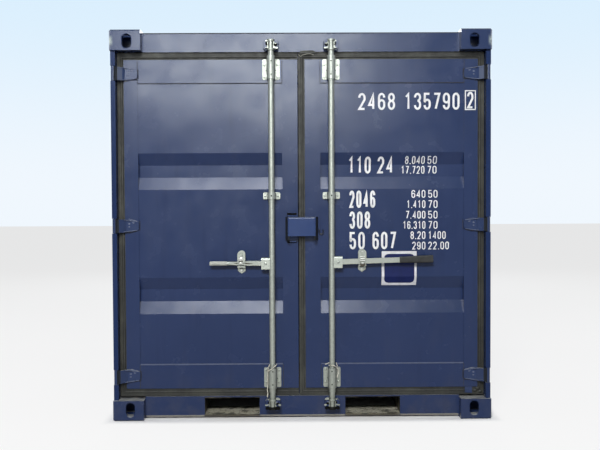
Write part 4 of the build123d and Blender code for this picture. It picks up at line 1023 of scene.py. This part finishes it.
# Painted shade above the lock box under the lock plate's flange, painted shadow under the plate, and a dark
# joint along the top of the header
FRAME_FACE = -1152
FRAME_AHEAD = -1153.6
with Pieces("lock_plate_shade", "left_door", "hole") as plate_shade:
    plate_shade.box((-84, -1195, 1191), (-31, -1193, 1204))
    plate_shade.box((-84, -1150, 1028), (-30, -1148, 1034))
with Pieces("header_joint", "container", "seam") as header_joint:
    header_joint.box((-922, FRAME_AHEAD, 2244), (922, FRAME_FACE, 2250))

# Plates that close the foot of the back wall over the corner castings
with Pieces("back_foot_plates", "container", "frame") as foot_plates:
    for sign in SIDES.values():
        low_x, high_x = sorted((sign * 916, sign * 992))
        foot_plates.box((low_x, 1196, 117), (high_x, 1202, 174))

# Dust along the lower edge of the sill, and mud under the straps of the fork pockets
with Pieces("sill_dust", "container", "dusty") as sill_dust:
    for low_x, high_x in ((-919, -576), (-250, 250), (576, 919)):
        sill_dust.box((low_x, FRAME_AHEAD, 8.5), (high_x, FRAME_FACE, 18))
with Pieces("strap_mud", "container", "crease") as strap_mud:
    for sign in SIDES.values():
        low_x, high_x = sorted((sign * 253, sign * 573))
        strap_mud.box((low_x, FRAME_AHEAD, 8.2), (high_x, FRAME_FACE, 14.4))

# Weld beads along the edges of the hinge blades
WELD_R = 3
WELD_WOBBLE = 0.25
for side, sign in SIDES.items():
    with Pieces(f"{side}_blade_welds", f"{side}_door", "frame") as welds:
        for height in HINGE_HEIGHTS:
            for up in (-1, 1):
                root = (sign * 1010, LEAF_FACE - 1, height + up * 38)
                tip = (sign * 962, LEAF_FACE - 1, height + up * 27)
                welds.bead(root, tip, WELD_R, WELD_WOBBLE)

# Dark seams between the frame of each leaf and its panel
SEAM_HALF = 2
SEAM_AHEAD = 0.5
SEAM_INSET = 6
for side in SIDES:
    frame_low, frame_high = in_mm(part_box(f"{side}_door_frame"))
    panel_low, panel_high = in_mm(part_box(f"{side}_door_panel"))
    front = frame_low.y - SEAM_AHEAD
    back = front + 1
    with Pieces(f"{side}_leaf_seams", f"{side}_door", "seam") as seams:
        above_panel = (panel_high.z, frame_high.z - SEAM_INSET)
        below_panel = (frame_low.z + SEAM_INSET, panel_low.z)
        for x in (panel_low.x, panel_high.x):
            for low, high in (above_panel, below_panel):
                seams.box((x - SEAM_HALF, front, low), (x + SEAM_HALF, back, high))
        z = panel_high.z
        seams.box((panel_low.x, front, z - SEAM_HALF), (panel_high.x, back, z + SEAM_HALF))

# Stage: floor, world and lights, in metres
BACKDROP_LOW = (0.87, 0.93, 0.99)
BACKDROP_HIGH = (0.70, 0.86, 0.99)
BACKDROP_RISE = 0.25
NEAR_FLOOR = (0.945, 0.945, 0.945)
FAR_FLOOR = (0.90, 0.90, 0.90)
FLOOR_FADE = (-1.5, 5.0)
BOUNCE_FLOOR = (0.35, 0.35, 0.35)
FILL = (0.93, 0.96, 1.0)
FILL_STRENGTH = 0.14
FLOOR_GLOW = 0.85
SHADE_REACH = 0.07
FLOOR_HALF_WIDE = 60
FLOOR_FRONT = -30
FLOOR_BACK = 35.6


def seen_rays(s):
    """1 for rays from the camera, mirror rays and rays through glass, and 0 for the light on surfaces."""
    path = s.add("ShaderNodeLightPath")
    seen = path.outputs["Is Camera Ray"]
    for kind in ("Is Glossy Ray", "Is Transmission Ray"):
        seen = s.math("MAXIMUM", seen, path.outputs[kind])
    return seen


def blended(s, share, a, b):
    """Shader a, with a share of shader b."""
    both = s.add("ShaderNodeMixShader")
    for source, target in zip((share, a, b), both.inputs):
        s.link(source, target)
    return both.outputs[0]


floor_data = bpy.data.meshes.new("floor")
left_near, right_near = (-FLOOR_HALF_WIDE, FLOOR_FRONT, 0), (FLOOR_HALF_WIDE, FLOOR_FRONT, 0)
right_far, left_far = (FLOOR_HALF_WIDE, FLOOR_BACK, 0), (-FLOOR_HALF_WIDE, FLOOR_BACK, 0)
floor_data.from_pydata([left_near, right_near, right_far, left_far], [], [(0, 1, 2, 3)])
floor = bpy.data.objects.new("floor", floor_data)
bpy.context.scene.collection.objects.link(floor)

# The floor glows in its own colour where it is seen, but keeps its shade close to the container
paper = Shader("floor_paper", roughness=0.9)
tone = paper.mix(paper.ramp(paper.along("Y"), *FLOOR_FADE), NEAR_FLOOR, FAR_FLOOR)
paper.set(paper.mix(seen_rays(paper), BOUNCE_FLOOR, tone))
glow = paper.add("ShaderNodeEmission")
paper.link(tone, glow.inputs["Color"])
away_x = paper.math("SUBTRACT", paper.off_middle(), CAD_BOX[1][0])
away_y = paper.math("SUBTRACT", paper.math("ABSOLUTE", paper.along("Y")), CAD_BOX[1][1])
away = paper.ramp(paper.math("MAXIMUM", away_x, away_y), 0.0, SHADE_REACH, 0.0, FLOOR_GLOW)
lit_floor = blended(paper, paper.times(seen_rays(paper), away), paper.shader.outputs[0], glow.outputs[0])
paper.link(lit_floor, paper.output.inputs[0])
floor_data.materials.append(paper.material)

# The world is a pale sky where it is seen, and a dim even fill as light
world = bpy.data.worlds.new("studio")
bpy.context.scene.world = world
world.use_nodes = True
sky = Shader.of_tree(world.node_tree)
sky.place = sky.add("ShaderNodeTexCoord").outputs["Generated"]
shown = sky.add("ShaderNodeBackground")
backdrop = sky.mix(sky.ramp(sky.along("Z"), 0.0, BACKDROP_RISE), BACKDROP_LOW, BACKDROP_HIGH)
sky.link(backdrop, shown.inputs["Color"])
fill = sky.add("ShaderNodeBackground")
sky.link(FILL, fill.inputs["Color"])
sky.link(FILL_STRENGTH, fill.inputs["Strength"])
studio = blended(sky, seen_rays(sky), fill.outputs[0], shown.outputs[0])
sky.link(studio, sky.add("ShaderNodeOutputWorld").inputs[0])


def soft_box(name, place, aim, wide, tall, brightness, colour):
    """Soft rectangular light of a brightness, where 1 is white, that looks at a point."""
    data = bpy.data.lights.new(name, "AREA")
    data.shape = "RECTANGLE"
    data.size = wide
    data.size_y = tall
    data.energy = brightness * math.pi * wide * tall
    data.color = colour
    made = bpy.data.objects.new(name, data)
    bpy.context.scene.collection.objects.link(made)
    made.location = place
    made.rotation_euler = (Vector(aim) - Vector(place)).to_track_quat("-Z", "Y").to_euler()
    return made


SUN_WARM = (1, 0.985, 0.96)
SKY_GREENISH = (0.97, 1, 0.96)
SKY_WHITE = (0.95, 0.975, 1)
CHEST = (0, 0, 1.2)
lights = [
    soft_box("high_sun", (-0.8, -8.2, 4.9), (0, -1.2, 1.2), 2.0, 1.2, 79, SUN_WARM),
    soft_box("front_sky", (-0.66, -8.5, 3.45), (-0.3, -1.2, 1.9), 3.4, 1.9, 23, SKY_GREENISH),
    soft_box("high_sky", (-0.55, -5.65, 6.36), (-0.2, -1.15, 1.0), 2.6, 2.4, 20, SKY_WHITE),
    soft_box("left_sky", (-7.5, 0.5, 4.2), CHEST, 5, 2.5, 5.0, SKY_WHITE),
    soft_box("right_sky", (7.5, 0.5, 4.2), CHEST, 5, 2.5, 5.0, SKY_WHITE),
    soft_box("back_sky", (0, 8.0, 4.2), CHEST, 6, 2.5, 5.0, SKY_WHITE),
]
# The sun only lights, and the sky in front only shows as a reflection, so that the sun keeps its shadows
lights[0].visible_glossy = False
for light in lights[1:3]:
    light.visible_diffuse = False

# Camera, as fitted to the corners of the castings
CAMERA_PLACE = Vector((-0.0519, -6.2248, 1.2891))
FOCAL_MM = 52.08
SENSOR_MM = 36
YAW = math.radians(0.478)
PITCH = math.radians(-1.767)
ROLL = math.radians(-0.28)
ahead = Vector((math.sin(YAW) * math.cos(PITCH), math.cos(YAW) * math.cos(PITCH), math.sin(PITCH)))
level = Vector((math.cos(YAW), -math.sin(YAW), 0))
above = level.cross(ahead)
right_way = level * math.cos(ROLL) + above * math.sin(ROLL)
up_way = above * math.cos(ROLL) - level * math.sin(ROLL)
camera_data = bpy.data.cameras.new("camera")
camera_data.lens = FOCAL_MM
camera_data.sensor_width = SENSOR_MM
camera_data.sensor_fit = "HORIZONTAL"
camera = bpy.data.objects.new("camera", camera_data)
bpy.context.scene.collection.objects.link(camera)
turn = Matrix((right_way, up_way, -ahead)).transposed().to_4x4()
camera.matrix_world = Matrix.Translation(CAMERA_PLACE) @ turn
bpy.context.scene.camera = camera
bpy.context.scene.view_settings.view_transform = "Standard"
